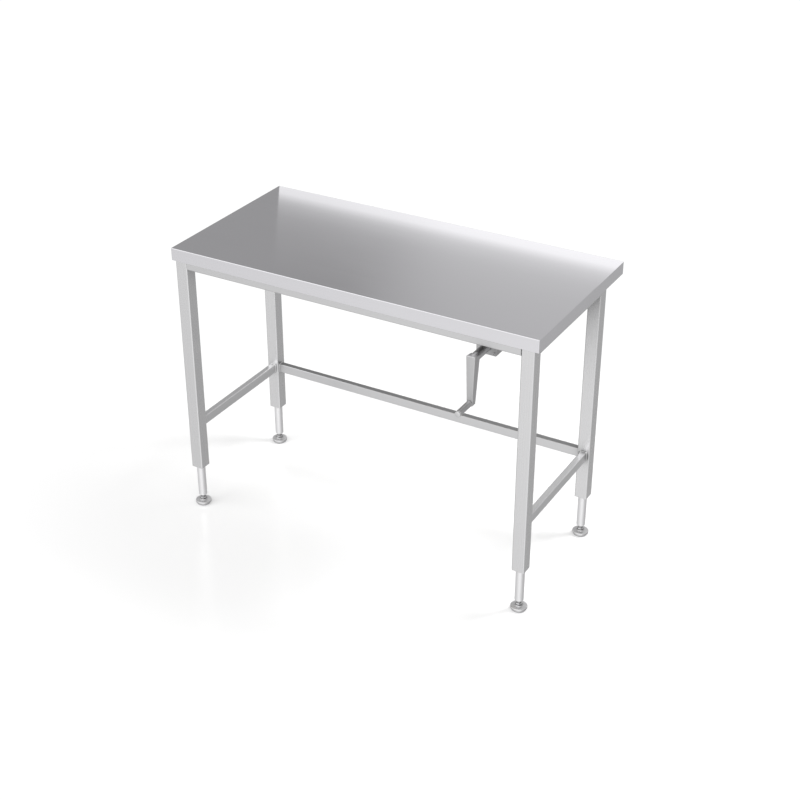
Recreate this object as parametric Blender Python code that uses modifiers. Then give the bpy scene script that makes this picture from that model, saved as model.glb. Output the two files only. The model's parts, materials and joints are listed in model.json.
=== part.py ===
"""A stainless steel table whose four legs rise and sink together when a crank is turned.

The crank turns a spindle in the pump under the top. The spindle moves a plate with four
plungers, and each plunger drives oil through a hose to the lift cylinder in one leg.
Metres, +Z up. The floor is z = 0, and +Y points to the back of the table.
"""
import math

import bmesh
import bpy
from mathutils import Matrix, Vector

# The table top: a folded sheet over a board
TOP_LENGTH = 1.200
TOP_DEPTH = 0.575
TABLE_HEIGHT = 0.900
SHEET = 0.0015
SKIRT_HEIGHT = 0.039
SHEET_FOLD_RADIUS = 0.0022
BOARD_THICKNESS = 0.019

# Clearances: faces that touch, and faces that slide or slip past each other
TOUCH = 0.0003
SLIP = 0.0005

# The frame: square legs, top rails and lower rails
LEG_SIZE = 0.040
LEG_WALL = 0.002
LEG_SIDE_INSET = 0.0125
LEG_REAR_INSET = 0.0885
LEG_SLEEVE_BOTTOM = 0.1435
TOP_RAIL_SIZE = 0.040
TOP_RAIL_WALL = 0.002
LOWER_RAIL_HEIGHT = 0.030
LOWER_RAIL_WIDTH = 0.020
LOWER_RAIL_WALL = 0.0015
LOWER_RAIL_BOTTOM = 0.281
TUBE_CORNER_RADIUS = 0.003

# The telescopic legs
INNER_LEG_DIAMETER = 0.027
INNER_LEG_WALL = 0.002
INNER_LEG_BOTTOM = 0.034
INNER_LEG_LENGTH = 0.418
INNER_LEG_PLUG = 0.025
INNER_LEG_CAP = 0.015
RAM_SEAT_DEPTH = 0.009
GUIDE_BUSH_LENGTH = 0.060
CYLINDER_DIAMETER = 0.022
CYLINDER_LENGTH = 0.275
CYLINDER_HEAD_HEIGHT = 0.025
CYLINDER_BORE_END = 0.010
RAM_ENGAGED = 0.150

# The levelling feet
STEM_DIAMETER = 0.012
STEM_ABOVE_LEG_END = 0.045
STEM_NUT_ACROSS_FLATS = 0.017
STEM_NUT_HEIGHT = 0.006
STEM_NUT_BOTTOM = 0.018
FOOT_DIAMETER = 0.050
FOOT_RIM_HEIGHT = 0.0105
FOOT_HUB_DIAMETER = 0.024
FOOT_HUB_TOP = 0.0175
FOOT_RIM_BOTTOM = 0.005
FOOT_SOCKET_FLOOR = 0.0125
PAD_DIAMETER = 0.044
PAD_THICKNESS = 0.008

# The lift: what one turn of the crank does, and how far the legs stand from their lower stop
LIFT_PER_TURN = 0.006
TURNS_DOWN = 13
TURNS_UP = 20
SPINDLE_PITCH = 0.003

# The pump under the top
PUMP_FROM_LEG = 0.146
PUMP_WIDTH = 0.063
PUMP_HEIGHT = 0.047
PUMP_WALL = 0.003
PUMP_BEHIND_RAIL = 0.0105
PUMP_PLATE = 0.008
PUMP_CORNER_RADIUS = 0.0045
PLUNGER_PLATE = 0.008
PLUNGER_PLATE_CORNER = 0.002
PLUNGER_DIAMETER = 0.012
PLUNGER_SPACING_X = 0.038
PLUNGER_SPACING_Z = 0.022
PLUNGER_LEAST_INSERTION = 0.020
PLATE_END_GAP = 0.003
BORE_END_WALL = 0.010
SPINDLE_DIAMETER = 0.014
SPINDLE_COLLAR_DIAMETER = 0.020
SPINDLE_COLLAR = 0.009
SHAFT_DIAMETER = 0.012
CRANK_BUSH_DIAMETER = 0.018
CRANK_BUSH_FLANGE_DIAMETER = 0.026
CRANK_BUSH_FLANGE = 0.002
BEARER_SIZE = 0.020
BEARER_WALL = 0.002
BEARER_SPACING = 0.090
HANGER_THICKNESS = 0.003
HANGER_LENGTH = 0.040
HANGER_END_DISTANCE = 0.030

# The hoses from the pump to the legs
HOSE_DIAMETER = 0.005
HOSE_HOLE_DIAMETER = 0.007
HOSE_BEND_RADIUS = 0.015
HOSE_BELOW_BOARD = 0.011
HOSE_LANE_SPACING = 0.020
HOSE_FROM_RAIL = 0.028
HOSE_TURN_FROM_LEG = 0.022
FREE_RUN_SHARE = 1.5

# The crank
CRANK_THROW = 0.130
CRANK_CLEAR_OF_SKIRT = 0.0125
ARM_WIDTH_AT_HUB = 0.028
ARM_DEPTH_AT_HUB = 0.031
ARM_WIDTH_AT_GRIP = 0.018
ARM_DEPTH_AT_GRIP = 0.020
ARM_CORNER = 0.003
ARM_TOP_FALL = 0.005
HUB_DIAMETER = 0.026
HUB_START = 0.010
HUB_LENGTH = 0.092
HUB_BORE_DEPTH = 0.070
GRIP_DIAMETER = 0.018
GRIP_LENGTH = 0.066
GRIP_END_ROUNDING = 0.003
GRIP_ARC_SHRINK = 0.0009
PIN_DIAMETER = 0.008
PIN_HEAD_DIAMETER = 0.0165
PIN_HEAD = 0.003

# Edge breaks and facets
SMALL_CHAMFER = 0.0008
FINE_STEPS = 24
PLAIN_STEPS = 16
EDGE_SEGMENTS = 2
FOLD_SEGMENTS = 3
SHARP_ANGLE = math.radians(35)
HOSE_SIDES = 2
BEND_STEPS = 4
MERGE_DISTANCE = 0.00001
CUT_OVERRUN = 0.002
EMPTY_SIZE = 0.030

# Heights that follow from the sizes above
LEG_TOP = TABLE_HEIGHT - SHEET - TOUCH - BOARD_THICKNESS - TOUCH
TOP_RAIL_BOTTOM = LEG_TOP - TOP_RAIL_SIZE
PUMP_TOP = TOP_RAIL_BOTTOM - TOUCH - HANGER_THICKNESS - TOUCH
CRANK_AXIS_Z = PUMP_TOP - PUMP_HEIGHT / 2
HOSE_Z = LEG_TOP - HOSE_BELOW_BOARD

# Places in plan, from the middle of the table top
LEG_X = TOP_LENGTH / 2 - LEG_SIDE_INSET - LEG_SIZE / 2
FRONT_LEG_Y = -TOP_DEPTH / 2 + SHEET + SLIP + LEG_SIZE / 2
REAR_LEG_Y = TOP_DEPTH / 2 - LEG_REAR_INSET - LEG_SIZE / 2
FRONT_RAIL_Y = FRONT_LEG_Y - LEG_SIZE / 2 + TOP_RAIL_SIZE / 2
REAR_RAIL_Y = REAR_LEG_Y + LEG_SIZE / 2 - TOP_RAIL_SIZE / 2
SIDE_RAIL_X = LEG_X + LEG_SIZE / 2 - TOP_RAIL_SIZE / 2
PUMP_CENTRE_X = LEG_X - PUMP_FROM_LEG

# Places along the crank's axis
ARM_FRONT_Y = -TOP_DEPTH / 2 - CRANK_CLEAR_OF_SKIRT - ARM_DEPTH_AT_HUB
GRIP_FRONT_Y = ARM_FRONT_Y - TOUCH - GRIP_LENGTH
PIN_FRONT_Y = GRIP_FRONT_Y - TOUCH - PIN_HEAD
PUMP_FRONT_Y = FRONT_RAIL_Y + TOP_RAIL_SIZE / 2 + PUMP_BEHIND_RAIL
PLUNGER_STROKE = (TURNS_DOWN + TURNS_UP) * SPINDLE_PITCH
CHAMBER_FRONT_Y = PUMP_FRONT_Y + PUMP_PLATE + TOUCH
PLATE_LOWEST_Y = CHAMBER_FRONT_Y + SPINDLE_COLLAR + PLATE_END_GAP
CHAMBER_LENGTH = SPINDLE_COLLAR + PLATE_END_GAP + PLUNGER_PLATE + PLUNGER_STROKE + PLATE_END_GAP
PLUNGER_LENGTH = PLUNGER_STROKE + PLATE_END_GAP + PLUNGER_LEAST_INSERTION
BLOCK_FRONT_Y = CHAMBER_FRONT_Y + CHAMBER_LENGTH + TOUCH
BLOCK_LENGTH = PLUNGER_LENGTH + BORE_END_WALL
BLOCK_REAR_Y = BLOCK_FRONT_Y + BLOCK_LENGTH

# The oil that one plunger moves in a turn lifts one leg by LIFT_PER_TURN
RAM_DIAMETER = PLUNGER_DIAMETER * math.sqrt(SPINDLE_PITCH / LIFT_PER_TURN)

# The origin is under the middle of everything, from the grip's end to the back edge
TABLE_Y = -(PIN_FRONT_Y + TOP_DEPTH / 2) / 2

LEGS = (
    ("front_left", -1, FRONT_LEG_Y, 1),
    ("front_right", 1, FRONT_LEG_Y, 1),
    ("rear_left", -1, REAR_LEG_Y, -1),
    ("rear_right", 1, REAR_LEG_Y, -1),
)

ALONG_X = (0.0, math.pi / 2, 0.0)
ALONG_Y = (-math.pi / 2, 0.0, 0.0)
UPRIGHT = (0.0, 0.0, 0.0)


def clear_scene():
    """Remove every object, so that the table is alone."""
    for item in list(bpy.data.objects):
        bpy.data.objects.remove(item, do_unlink=True)


def new_collection(name):
    """A collection linked to the scene."""
    collection = bpy.data.collections.new(name)
    bpy.context.scene.collection.children.link(collection)
    return collection


def new_material(name, colour, roughness, metallic):
    """A Principled material of one colour."""
    material = bpy.data.materials.new(name)
    material.use_nodes = True
    shader = material.node_tree.nodes["Principled BSDF"]
    shader.inputs["Base Color"].default_value = (*colour, 1.0)
    shader.inputs["Roughness"].default_value = roughness
    shader.inputs["Metallic"].default_value = metallic
    material.diffuse_color = (*colour, 1.0)
    return material


def new_empty(name, place, parent=None):
    """An empty that stands on a joint's axis and carries what moves there."""
    empty = bpy.data.objects.new(name, None)
    empty.empty_display_size = EMPTY_SIZE
    PARTS.objects.link(empty)
    empty.parent = parent
    empty.location = place
    return empty


def new_part(name, mesh, material, place, parent, rotation=UPRIGHT):
    """A named sub-part from a mesh, placed in the table's frame or its parent's."""
    part = bpy.data.objects.new(name, mesh)
    PARTS.objects.link(part)
    part.data.materials.clear()
    part.data.materials.append(material)
    part.parent = parent
    part.location = place
    part.rotation_euler = rotation
    return part


def scratch_object(mesh):
    """An object that only carries modifiers until its mesh is taken."""
    scratch = bpy.data.objects.new(mesh.name, mesh)
    CUTTERS.objects.link(scratch)
    scratch.hide_render = True
    scratch.display_type = "WIRE"
    return scratch


def take_mesh(scratch):
    """The object's mesh with its modifiers applied. The object goes."""
    bpy.context.view_layer.update()
    evaluated = scratch.evaluated_get(bpy.context.evaluated_depsgraph_get())
    mesh = bpy.data.meshes.new_from_object(evaluated)
    mesh.name = scratch.name
    bpy.data.objects.remove(scratch, do_unlink=True)
    return mesh


def combine(mesh, others, operation):
    """Union with, or difference from, a list of meshes that are already in place."""
    scratch = scratch_object(mesh)
    tools = []
    for other in others:
        tool = scratch_object(other)
        tools.append(tool)
        modifier = scratch.modifiers.new(operation.lower(), "BOOLEAN")
        modifier.operation = operation
        modifier.solver = "EXACT"
        modifier.object = tool
    result = take_mesh(scratch)
    for tool in tools:
        bpy.data.objects.remove(tool, do_unlink=True)
    return result


def moved(mesh, place, rotation=UPRIGHT):
    """The same mesh, turned and then shifted."""
    turn = Matrix.LocRotScale(Vector(place), None, None)
    for axis, angle in zip("XYZ", rotation):
        turn = turn @ Matrix.Rotation(angle, 4, axis)
    mesh.transform(turn)
    return mesh


def shade(mesh):
    """Smooth round faces and sharp corners."""
    mesh.shade_smooth()
    mesh.set_sharp_from_angle(angle=SHARP_ANGLE)
    return mesh


def box(name, size, radius=0.0, segments=EDGE_SEGMENTS, edges="all"):
    """A box around its middle. edges names the rounded ones: all, or those along z."""
    bm = bmesh.new()
    bmesh.ops.create_cube(bm, size=1.0)
    bmesh.ops.scale(bm, vec=size, verts=bm.verts)
    if radius:
        chosen = [e for e in bm.edges if edges == "all" or is_upright(e)]
        bmesh.ops.bevel(bm, geom=chosen, offset=radius, segments=segments, profile=0.5, affect="EDGES")
    return finished_mesh(bm, name)


def is_upright(edge):
    """Whether an edge of a box runs along z."""
    along = edge.verts[1].co - edge.verts[0].co
    return abs(along.z) > max(abs(along.x), abs(along.y))


def finished_mesh(bm, name):
    """The bmesh as mesh data."""
    mesh = bpy.data.meshes.new(name)
    bm.to_mesh(mesh)
    bm.free()
    return shade(mesh)


def cylinder(name, diameter, length, steps=PLAIN_STEPS):
    """A cylinder along z around its middle."""
    bm = bmesh.new()
    bmesh.ops.create_cone(
        bm, cap_ends=True, segments=steps, radius1=diameter / 2, radius2=diameter / 2, depth=length
    )
    return finished_mesh(bm, name)


def turned(name, profile, steps=PLAIN_STEPS, ring=False):
    """A turned piece about z. The profile of (radius, height) runs down its outer side."""
    mesh = bpy.data.meshes.new(name)
    points = [(radius, 0.0, height) for radius, height in profile]
    edges = [(i, i + 1) for i in range(len(points) - 1)]
    if ring:
        edges.append((len(points) - 1, 0))
    mesh.from_pydata(points, edges, [])
    scratch = scratch_object(mesh)
    screw = scratch.modifiers.new("screw", "SCREW")
    screw.steps = steps
    screw.render_steps = steps
    screw.use_merge_vertices = True
    screw.merge_threshold = MERGE_DISTANCE
    return shade(take_mesh(scratch))


def shell(name, size, wall, radius, open_sides, rounded="all"):
    """A box of sheet around its middle, open on the sides named, with the wall inside."""
    bm = bmesh.new()
    bmesh.ops.create_cube(bm, size=1.0)
    bmesh.ops.scale(bm, vec=size, verts=bm.verts)
    away = [f for f in bm.faces if any(f.normal.dot(Vector(side)) > 0.5 for side in open_sides)]
    bmesh.ops.delete(bm, geom=away, context="FACES_ONLY")
    folds = [e for e in bm.edges if len(e.link_faces) == 2 and (rounded == "all" or is_upright(e))]
    bmesh.ops.bevel(
        bm, geom=folds, offset=radius, segments=FOLD_SEGMENTS, profile=0.5, affect="EDGES"
    )
    mesh = finished_mesh(bm, name)
    scratch = scratch_object(mesh)
    solidify = scratch.modifiers.new("sheet", "SOLIDIFY")
    solidify.thickness = wall
    solidify.offset = -1.0
    solidify.use_even_offset = True
    return shade(take_mesh(scratch))


def tube(name, size, wall, length):
    """A square or oblong tube along z around its middle, open at both ends."""
    ends = ((0, 0, 1), (0, 0, -1))
    return shell(name, (*size, length), wall, TUBE_CORNER_RADIUS, ends, rounded="upright")


def bent_path(corners, radius):
    """The points of a line through the corners, each one rounded by an arc."""
    corners = [Vector(corner) for corner in corners]
    rooms = [(b - a).length / 2 for a, b in zip(corners, corners[1:])]
    rooms[0] *= FREE_RUN_SHARE
    rooms[-1] *= FREE_RUN_SHARE
    points = [corners[0]]
    for i, corner in enumerate(corners[1:-1], start=1):
        back = (corners[i - 1] - corner).normalized()
        ahead = (corners[i + 1] - corner).normalized()
        half = back.angle(ahead) / 2
        room = min(rooms[i - 1], rooms[i])
        bend = min(radius, room * math.tan(half))
        centre = corner + (back + ahead).normalized() * (bend / math.sin(half))
        start = corner + back * (bend / math.tan(half))
        axis = back.cross(ahead)
        sweep = math.pi - 2 * half
        for step in range(BEND_STEPS + 1):
            turn = Matrix.Rotation(-sweep * step / BEND_STEPS, 3, axis)
            points.append(centre + turn @ (start - centre))
    points.append(corners[-1])
    return points


def hose_part(name, points, material, parent):
    """A round hose along the points, as a curve with a bevel and filled caps."""
    curve = bpy.data.curves.new(name, "CURVE")
    curve.dimensions = "3D"
    curve.bevel_depth = HOSE_DIAMETER / 2
    curve.bevel_resolution = HOSE_SIDES
    curve.use_fill_caps = True
    spline = curve.splines.new("POLY")
    spline.points.add(len(points) - 1)
    for target, point in zip(spline.points, points):
        target.co = (*point, 1.0)
    curve.materials.append(material)
    hose = bpy.data.objects.new(name, curve)
    PARTS.objects.link(hose)
    hose.parent = parent
    return hose


def build_top(table):
    """The folded sheet with its skirts, and the board under it."""
    sheet = shell(
        "table_top", (TOP_LENGTH, TOP_DEPTH, SKIRT_HEIGHT), SHEET, SHEET_FOLD_RADIUS, ((0, 0, -1),)
    )
    new_part("table_top", sheet, BRUSHED_STEEL, (0, 0, TABLE_HEIGHT - SKIRT_HEIGHT / 2), table)
    inside = 2 * (SHEET + SLIP)
    board = box("backing_board", (TOP_LENGTH - inside, TOP_DEPTH - inside, BOARD_THICKNESS))
    new_part("backing_board", board, BOARD, (0, 0, LEG_TOP + TOUCH + BOARD_THICKNESS / 2), table)


def build_outer_legs(table):
    """The four square legs, each with a hole for its hose in the wall that meets the side rail."""
    length = LEG_TOP - LEG_SLEEVE_BOTTOM
    sleeve = tube("outer_leg", (LEG_SIZE, LEG_SIZE), LEG_WALL, length)
    drill = cylinder("drill", HOSE_HOLE_DIAMETER, LEG_WALL + 2 * CUT_OVERRUN)
    moved(drill, (0, (LEG_SIZE - LEG_WALL) / 2, HOSE_Z - LEG_TOP + length / 2), ALONG_Y)
    mesh = shade(combine(sleeve, [drill], "DIFFERENCE"))
    middle = (LEG_TOP + LEG_SLEEVE_BOTTOM) / 2
    for name, side, y, facing in LEGS:
        turn = (0, 0, 0 if facing > 0 else math.pi)
        new_part(f"outer_leg_{name}", mesh, BRUSHED_STEEL, (side * LEG_X, y, middle), table, turn)


def build_top_rails(table):
    """The front, rear and side rails, butted between the legs under the board."""
    z = LEG_TOP - TOP_RAIL_SIZE / 2
    length = 2 * LEG_X - LEG_SIZE - 2 * TOUCH
    size = (TOP_RAIL_SIZE, TOP_RAIL_SIZE)
    long_rail = tube("top_rail", size, TOP_RAIL_WALL, length)
    new_part("top_rail_front", long_rail, BRUSHED_STEEL, (0, FRONT_RAIL_Y, z), table, ALONG_X)
    new_part("top_rail_rear", long_rail, BRUSHED_STEEL, (0, REAR_RAIL_Y, z), table, ALONG_X)

    span = REAR_LEG_Y - FRONT_LEG_Y - LEG_SIZE - 2 * TOUCH
    middle_y = (REAR_LEG_Y + FRONT_LEG_Y) / 2
    inner_wall_x = (TOP_RAIL_SIZE - TOP_RAIL_WALL) / 2
    for name, side in (("left", -1), ("right", 1)):
        rail = moved(tube("side_rail", size, TOP_RAIL_WALL, span), (0, 0, 0), ALONG_Y)
        drills = []
        for hole_y in (hose_entry_y(FRONT_LEG_Y, 1), hose_entry_y(REAR_LEG_Y, -1)):
            drill = cylinder("drill", HOSE_HOLE_DIAMETER, TOP_RAIL_WALL + 2 * CUT_OVERRUN)
            moved(drill, (-side * inner_wall_x, hole_y - middle_y, HOSE_Z - z), ALONG_X)
            drills.append(drill)
        mesh = shade(combine(rail, drills, "DIFFERENCE"))
        place = (side * SIDE_RAIL_X, middle_y, z)
        new_part(f"top_rail_{name}", mesh, BRUSHED_STEEL, place, table)


def build_lower_rails(table):
    """The rails low on the legs: one at the back and one on each side."""
    z = LOWER_RAIL_BOTTOM + LOWER_RAIL_HEIGHT / 2
    length = 2 * LEG_X - LEG_SIZE - 2 * TOUCH
    lying = (LOWER_RAIL_HEIGHT, LOWER_RAIL_WIDTH)
    rear = tube("lower_rail_rear", lying, LOWER_RAIL_WALL, length)
    new_part("lower_rail_rear", rear, BRUSHED_STEEL, (0, REAR_LEG_Y, z), table, ALONG_X)
    span = REAR_LEG_Y - FRONT_LEG_Y - LEG_SIZE - 2 * TOUCH
    side_rail = tube("lower_rail_side", lying[::-1], LOWER_RAIL_WALL, span)
    middle_y = (REAR_LEG_Y + FRONT_LEG_Y) / 2
    for name, side in (("left", -1), ("right", 1)):
        place = (side * LEG_X, middle_y, z)
        new_part(f"lower_rail_{name}", side_rail, BRUSHED_STEEL, place, table, ALONG_Y)


def build_guides_and_cylinders(table):
    """In each outer leg: the bush that guides the inner leg, and the lift cylinder at the top."""
    inside = LEG_SIZE - 2 * LEG_WALL - 2 * TOUCH
    block = box(
        "guide_bush", (inside, inside, GUIDE_BUSH_LENGTH), TUBE_CORNER_RADIUS, edges="upright"
    )
    bore = cylinder(
        "bore", INNER_LEG_DIAMETER + 2 * SLIP, GUIDE_BUSH_LENGTH + 2 * CUT_OVERRUN, FINE_STEPS
    )
    bush = shade(combine(block, [bore], "DIFFERENCE"))

    head = inside / 2
    barrel = CYLINDER_DIAMETER / 2
    bore_radius = RAM_DIAMETER / 2 + SLIP
    top = CYLINDER_LENGTH
    cylinder_profile = [
        (0, top),
        (head - SMALL_CHAMFER, top),
        (head, top - SMALL_CHAMFER),
        (head, top - CYLINDER_HEAD_HEIGHT),
        (barrel, top - CYLINDER_HEAD_HEIGHT),
        (barrel, SMALL_CHAMFER),
        (barrel - SMALL_CHAMFER, 0),
        (bore_radius, 0),
        (bore_radius, top - CYLINDER_BORE_END),
        (0, top - CYLINDER_BORE_END),
    ]
    lift_cylinder = turned("lift_cylinder", cylinder_profile)
    bush_z = LEG_SLEEVE_BOTTOM + GUIDE_BUSH_LENGTH / 2
    cylinder_z = LEG_TOP - CYLINDER_LENGTH
    for name, side, y, _ in LEGS:
        new_part(f"guide_bush_{name}", bush, PLASTIC, (side * LEG_X, y, bush_z), table)
        place = (side * LEG_X, y, cylinder_z)
        new_part(f"lift_cylinder_{name}", lift_cylinder, DULL_STEEL, place, table)


def inner_leg_mesh():
    """A round tube with a threaded plug at its foot and a cap with a seat for the ram."""
    outer = INNER_LEG_DIAMETER / 2
    inner = outer - INNER_LEG_WALL
    thread = STEM_DIAMETER / 2 + TOUCH
    seat = RAM_DIAMETER / 2 + TOUCH
    top = INNER_LEG_LENGTH
    profile = [
        (0, top - RAM_SEAT_DEPTH),
        (seat, top - RAM_SEAT_DEPTH),
        (seat, top),
        (outer - SMALL_CHAMFER, top),
        (outer, top - SMALL_CHAMFER),
        (outer, SMALL_CHAMFER),
        (outer - SMALL_CHAMFER, 0),
        (thread, 0),
        (thread, INNER_LEG_PLUG),
        (inner, INNER_LEG_PLUG),
        (inner, top - INNER_LEG_CAP),
        (0, top - INNER_LEG_CAP),
    ]
    return turned("inner_leg", profile, FINE_STEPS)


def ram_mesh():
    """The rod from its seat in the inner leg up into the lift cylinder, from z = 0."""
    seat_z = INNER_LEG_BOTTOM + INNER_LEG_LENGTH - RAM_SEAT_DEPTH + TOUCH
    length = LEG_TOP - CYLINDER_LENGTH + RAM_ENGAGED - seat_z
    radius = RAM_DIAMETER / 2
    profile = [
        (0, length),
        (radius - SMALL_CHAMFER, length),
        (radius, length - SMALL_CHAMFER),
        (radius, SMALL_CHAMFER),
        (radius - SMALL_CHAMFER, 0),
        (0, 0),
    ]
    return turned("lift_ram", profile)


def stem_mesh():
    """The levelling screw with its nut, from the floor of the foot's socket upwards."""
    radius = STEM_DIAMETER / 2
    bottom = FOOT_SOCKET_FLOOR + TOUCH
    top = INNER_LEG_BOTTOM + STEM_ABOVE_LEG_END
    profile = [
        (0, top),
        (radius - SMALL_CHAMFER, top),
        (radius, top - SMALL_CHAMFER),
        (radius, bottom + SMALL_CHAMFER),
        (radius - SMALL_CHAMFER, bottom),
        (0, bottom),
    ]
    rod = turned("foot_stem", profile)
    bm = bmesh.new()
    corner = STEM_NUT_ACROSS_FLATS / math.sqrt(3)
    bmesh.ops.create_cone(
        bm, cap_ends=True, segments=6, radius1=corner, radius2=corner, depth=STEM_NUT_HEIGHT
    )
    nut = moved(finished_mesh(bm, "nut"), (0, 0, STEM_NUT_BOTTOM + STEM_NUT_HEIGHT / 2))
    return shade(combine(rod, [nut], "UNION"))


def foot_disc_mesh():
    """The turned foot with a socket for the stem above and a recess for the pad below."""
    rim = FOOT_DIAMETER / 2
    hub = FOOT_HUB_DIAMETER / 2
    socket = STEM_DIAMETER / 2 + TOUCH
    recess = PAD_DIAMETER / 2 + TOUCH
    recess_top = PAD_THICKNESS + TOUCH
    shoulder = (FOOT_RIM_HEIGHT + FOOT_HUB_TOP) / 2
    profile = [
        (0, FOOT_SOCKET_FLOOR),
        (socket, FOOT_SOCKET_FLOOR),
        (socket, FOOT_HUB_TOP),
        (hub - SMALL_CHAMFER, FOOT_HUB_TOP),
        (hub, FOOT_HUB_TOP - SMALL_CHAMFER),
        (hub, shoulder + SMALL_CHAMFER),
        (hub + SMALL_CHAMFER, shoulder),
        (rim - 3 * SMALL_CHAMFER, FOOT_RIM_HEIGHT + 2 * SMALL_CHAMFER),
        (rim - SMALL_CHAMFER, FOOT_RIM_HEIGHT + SMALL_CHAMFER),
        (rim, FOOT_RIM_HEIGHT - SMALL_CHAMFER),
        (rim, FOOT_RIM_BOTTOM),
        (recess, FOOT_RIM_BOTTOM),
        (recess, recess_top),
        (0, recess_top),
    ]
    return turned("foot_disc", profile, FINE_STEPS)


def pad_mesh():
    """The rubber pad that the foot stands on."""
    radius = PAD_DIAMETER / 2
    profile = [
        (0, PAD_THICKNESS),
        (radius, PAD_THICKNESS),
        (radius, SMALL_CHAMFER),
        (radius - SMALL_CHAMFER, 0),
        (0, 0),
    ]
    return turned("foot_pad", profile, FINE_STEPS)


def build_moving_legs(table):
    """The inner legs with their rams, and the levelling feet under them."""
    inner_leg = inner_leg_mesh()
    ram = ram_mesh()
    stem = stem_mesh()
    disc = foot_disc_mesh()
    pad = pad_mesh()
    ram_z = INNER_LEG_LENGTH - RAM_SEAT_DEPTH + TOUCH
    for name, side, y, _ in LEGS:
        slide = new_empty(f"leg_slide_{name}", (side * LEG_X, y, INNER_LEG_BOTTOM), table)
        new_part(f"inner_leg_{name}", inner_leg, ROUND_STEEL, (0, 0, 0), slide)
        new_part(f"lift_ram_{name}", ram, CHROME, (0, 0, ram_z), slide)
        foot = new_empty(f"foot_slide_{name}", (0, 0, -INNER_LEG_BOTTOM), slide)
        new_part(f"foot_disc_{name}", disc, CAST_STEEL, (0, 0, 0), foot)
        new_part(f"foot_pad_{name}", pad, RUBBER, (0, 0, 0), foot)
        screw = new_empty(f"foot_turn_{name}", (0, 0, 0), foot)
        new_part(f"foot_stem_{name}", stem, DULL_STEEL, (0, 0, 0), screw)


def build_pump_carriers(table):
    """Two bearers from the front rail to the rear rail, and two hangers across them."""
    front = FRONT_RAIL_Y + TOP_RAIL_SIZE / 2 + TOUCH
    rear = REAR_RAIL_Y - TOP_RAIL_SIZE / 2 - TOUCH
    bearer = tube("pump_bearer", (BEARER_SIZE, BEARER_SIZE), BEARER_WALL, rear - front)
    z = TOP_RAIL_BOTTOM + BEARER_SIZE / 2
    for name, side in (("left", -1), ("right", 1)):
        place = (PUMP_CENTRE_X + side * BEARER_SPACING / 2, (front + rear) / 2, z)
        new_part(f"pump_bearer_{name}", bearer, DULL_STEEL, place, table, ALONG_Y)

    plate = box(
        "pump_hanger",
        (BEARER_SPACING + BEARER_SIZE, HANGER_LENGTH, HANGER_THICKNESS),
        TUBE_CORNER_RADIUS,
        edges="upright",
    )
    hanger_z = TOP_RAIL_BOTTOM - TOUCH - HANGER_THICKNESS / 2
    ends = (
        ("front", PUMP_FRONT_Y + HANGER_END_DISTANCE),
        ("rear", BLOCK_REAR_Y - HANGER_END_DISTANCE),
    )
    for name, y in ends:
        place = (PUMP_CENTRE_X, y, hanger_z)
        new_part(f"pump_hanger_{name}", plate, DULL_STEEL, place, table)


def plunger_places():
    """The four plungers around the spindle, as offsets in x and z."""
    for side in (-1, 1):
        for level in (-1, 1):
            yield side * PLUNGER_SPACING_X / 2, level * PLUNGER_SPACING_Z / 2


def pump_slab(name, length):
    """A length of the pump's section along z around its middle, with its four corners rounded."""
    return box(name, (PUMP_WIDTH, PUMP_HEIGHT, length), PUMP_CORNER_RADIUS, FOLD_SEGMENTS, "upright")


def build_pump(table):
    """The pump's front plate with its bush, its housing, and the block with the four bores."""
    plate = pump_slab("pump_front_plate", PUMP_PLATE)
    hole = cylinder("hole", CRANK_BUSH_DIAMETER + 2 * TOUCH, PUMP_PLATE + 2 * CUT_OVERRUN)
    plate = shade(combine(plate, [hole], "DIFFERENCE"))
    place = (PUMP_CENTRE_X, PUMP_FRONT_Y + PUMP_PLATE / 2, CRANK_AXIS_Z)
    new_part("pump_front_plate", plate, DARK_METAL, place, table, ALONG_Y)

    housing = shell(
        "pump_housing",
        (PUMP_WIDTH, PUMP_HEIGHT, CHAMBER_LENGTH),
        PUMP_WALL,
        PUMP_CORNER_RADIUS,
        ((0, 0, 1), (0, 0, -1)),
        rounded="upright",
    )
    place = (PUMP_CENTRE_X, CHAMBER_FRONT_Y + CHAMBER_LENGTH / 2, CRANK_AXIS_Z)
    new_part("pump_housing", housing, DARK_METAL, place, table, ALONG_Y)

    block = pump_slab("pump_cylinder_block", BLOCK_LENGTH)
    middle = (PLUNGER_LENGTH - CUT_OVERRUN - BLOCK_LENGTH) / 2
    drills = []
    for x, z in plunger_places():
        drill = cylinder("drill", PLUNGER_DIAMETER + 2 * SLIP, PLUNGER_LENGTH + CUT_OVERRUN)
        drills.append(moved(drill, (x, z, middle)))
    block = shade(combine(block, drills, "DIFFERENCE"))
    place = (PUMP_CENTRE_X, BLOCK_FRONT_Y + BLOCK_LENGTH / 2, CRANK_AXIS_Z)
    new_part("pump_cylinder_block", block, DARK_METAL, place, table, ALONG_Y)

    shaft = SHAFT_DIAMETER / 2 + SLIP
    outer = CRANK_BUSH_DIAMETER / 2
    flange = CRANK_BUSH_FLANGE_DIAMETER / 2
    front = -CRANK_BUSH_FLANGE - TOUCH
    bush_profile = [
        (flange, -TOUCH),
        (flange, front),
        (shaft, front),
        (shaft, PUMP_PLATE),
        (outer, PUMP_PLATE),
        (outer, -TOUCH),
    ]
    bush = turned("crank_bush", bush_profile, ring=True)
    place = (PUMP_CENTRE_X, PUMP_FRONT_Y, CRANK_AXIS_Z)
    new_part("crank_bush", bush, DULL_STEEL, place, table, ALONG_Y)


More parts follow.
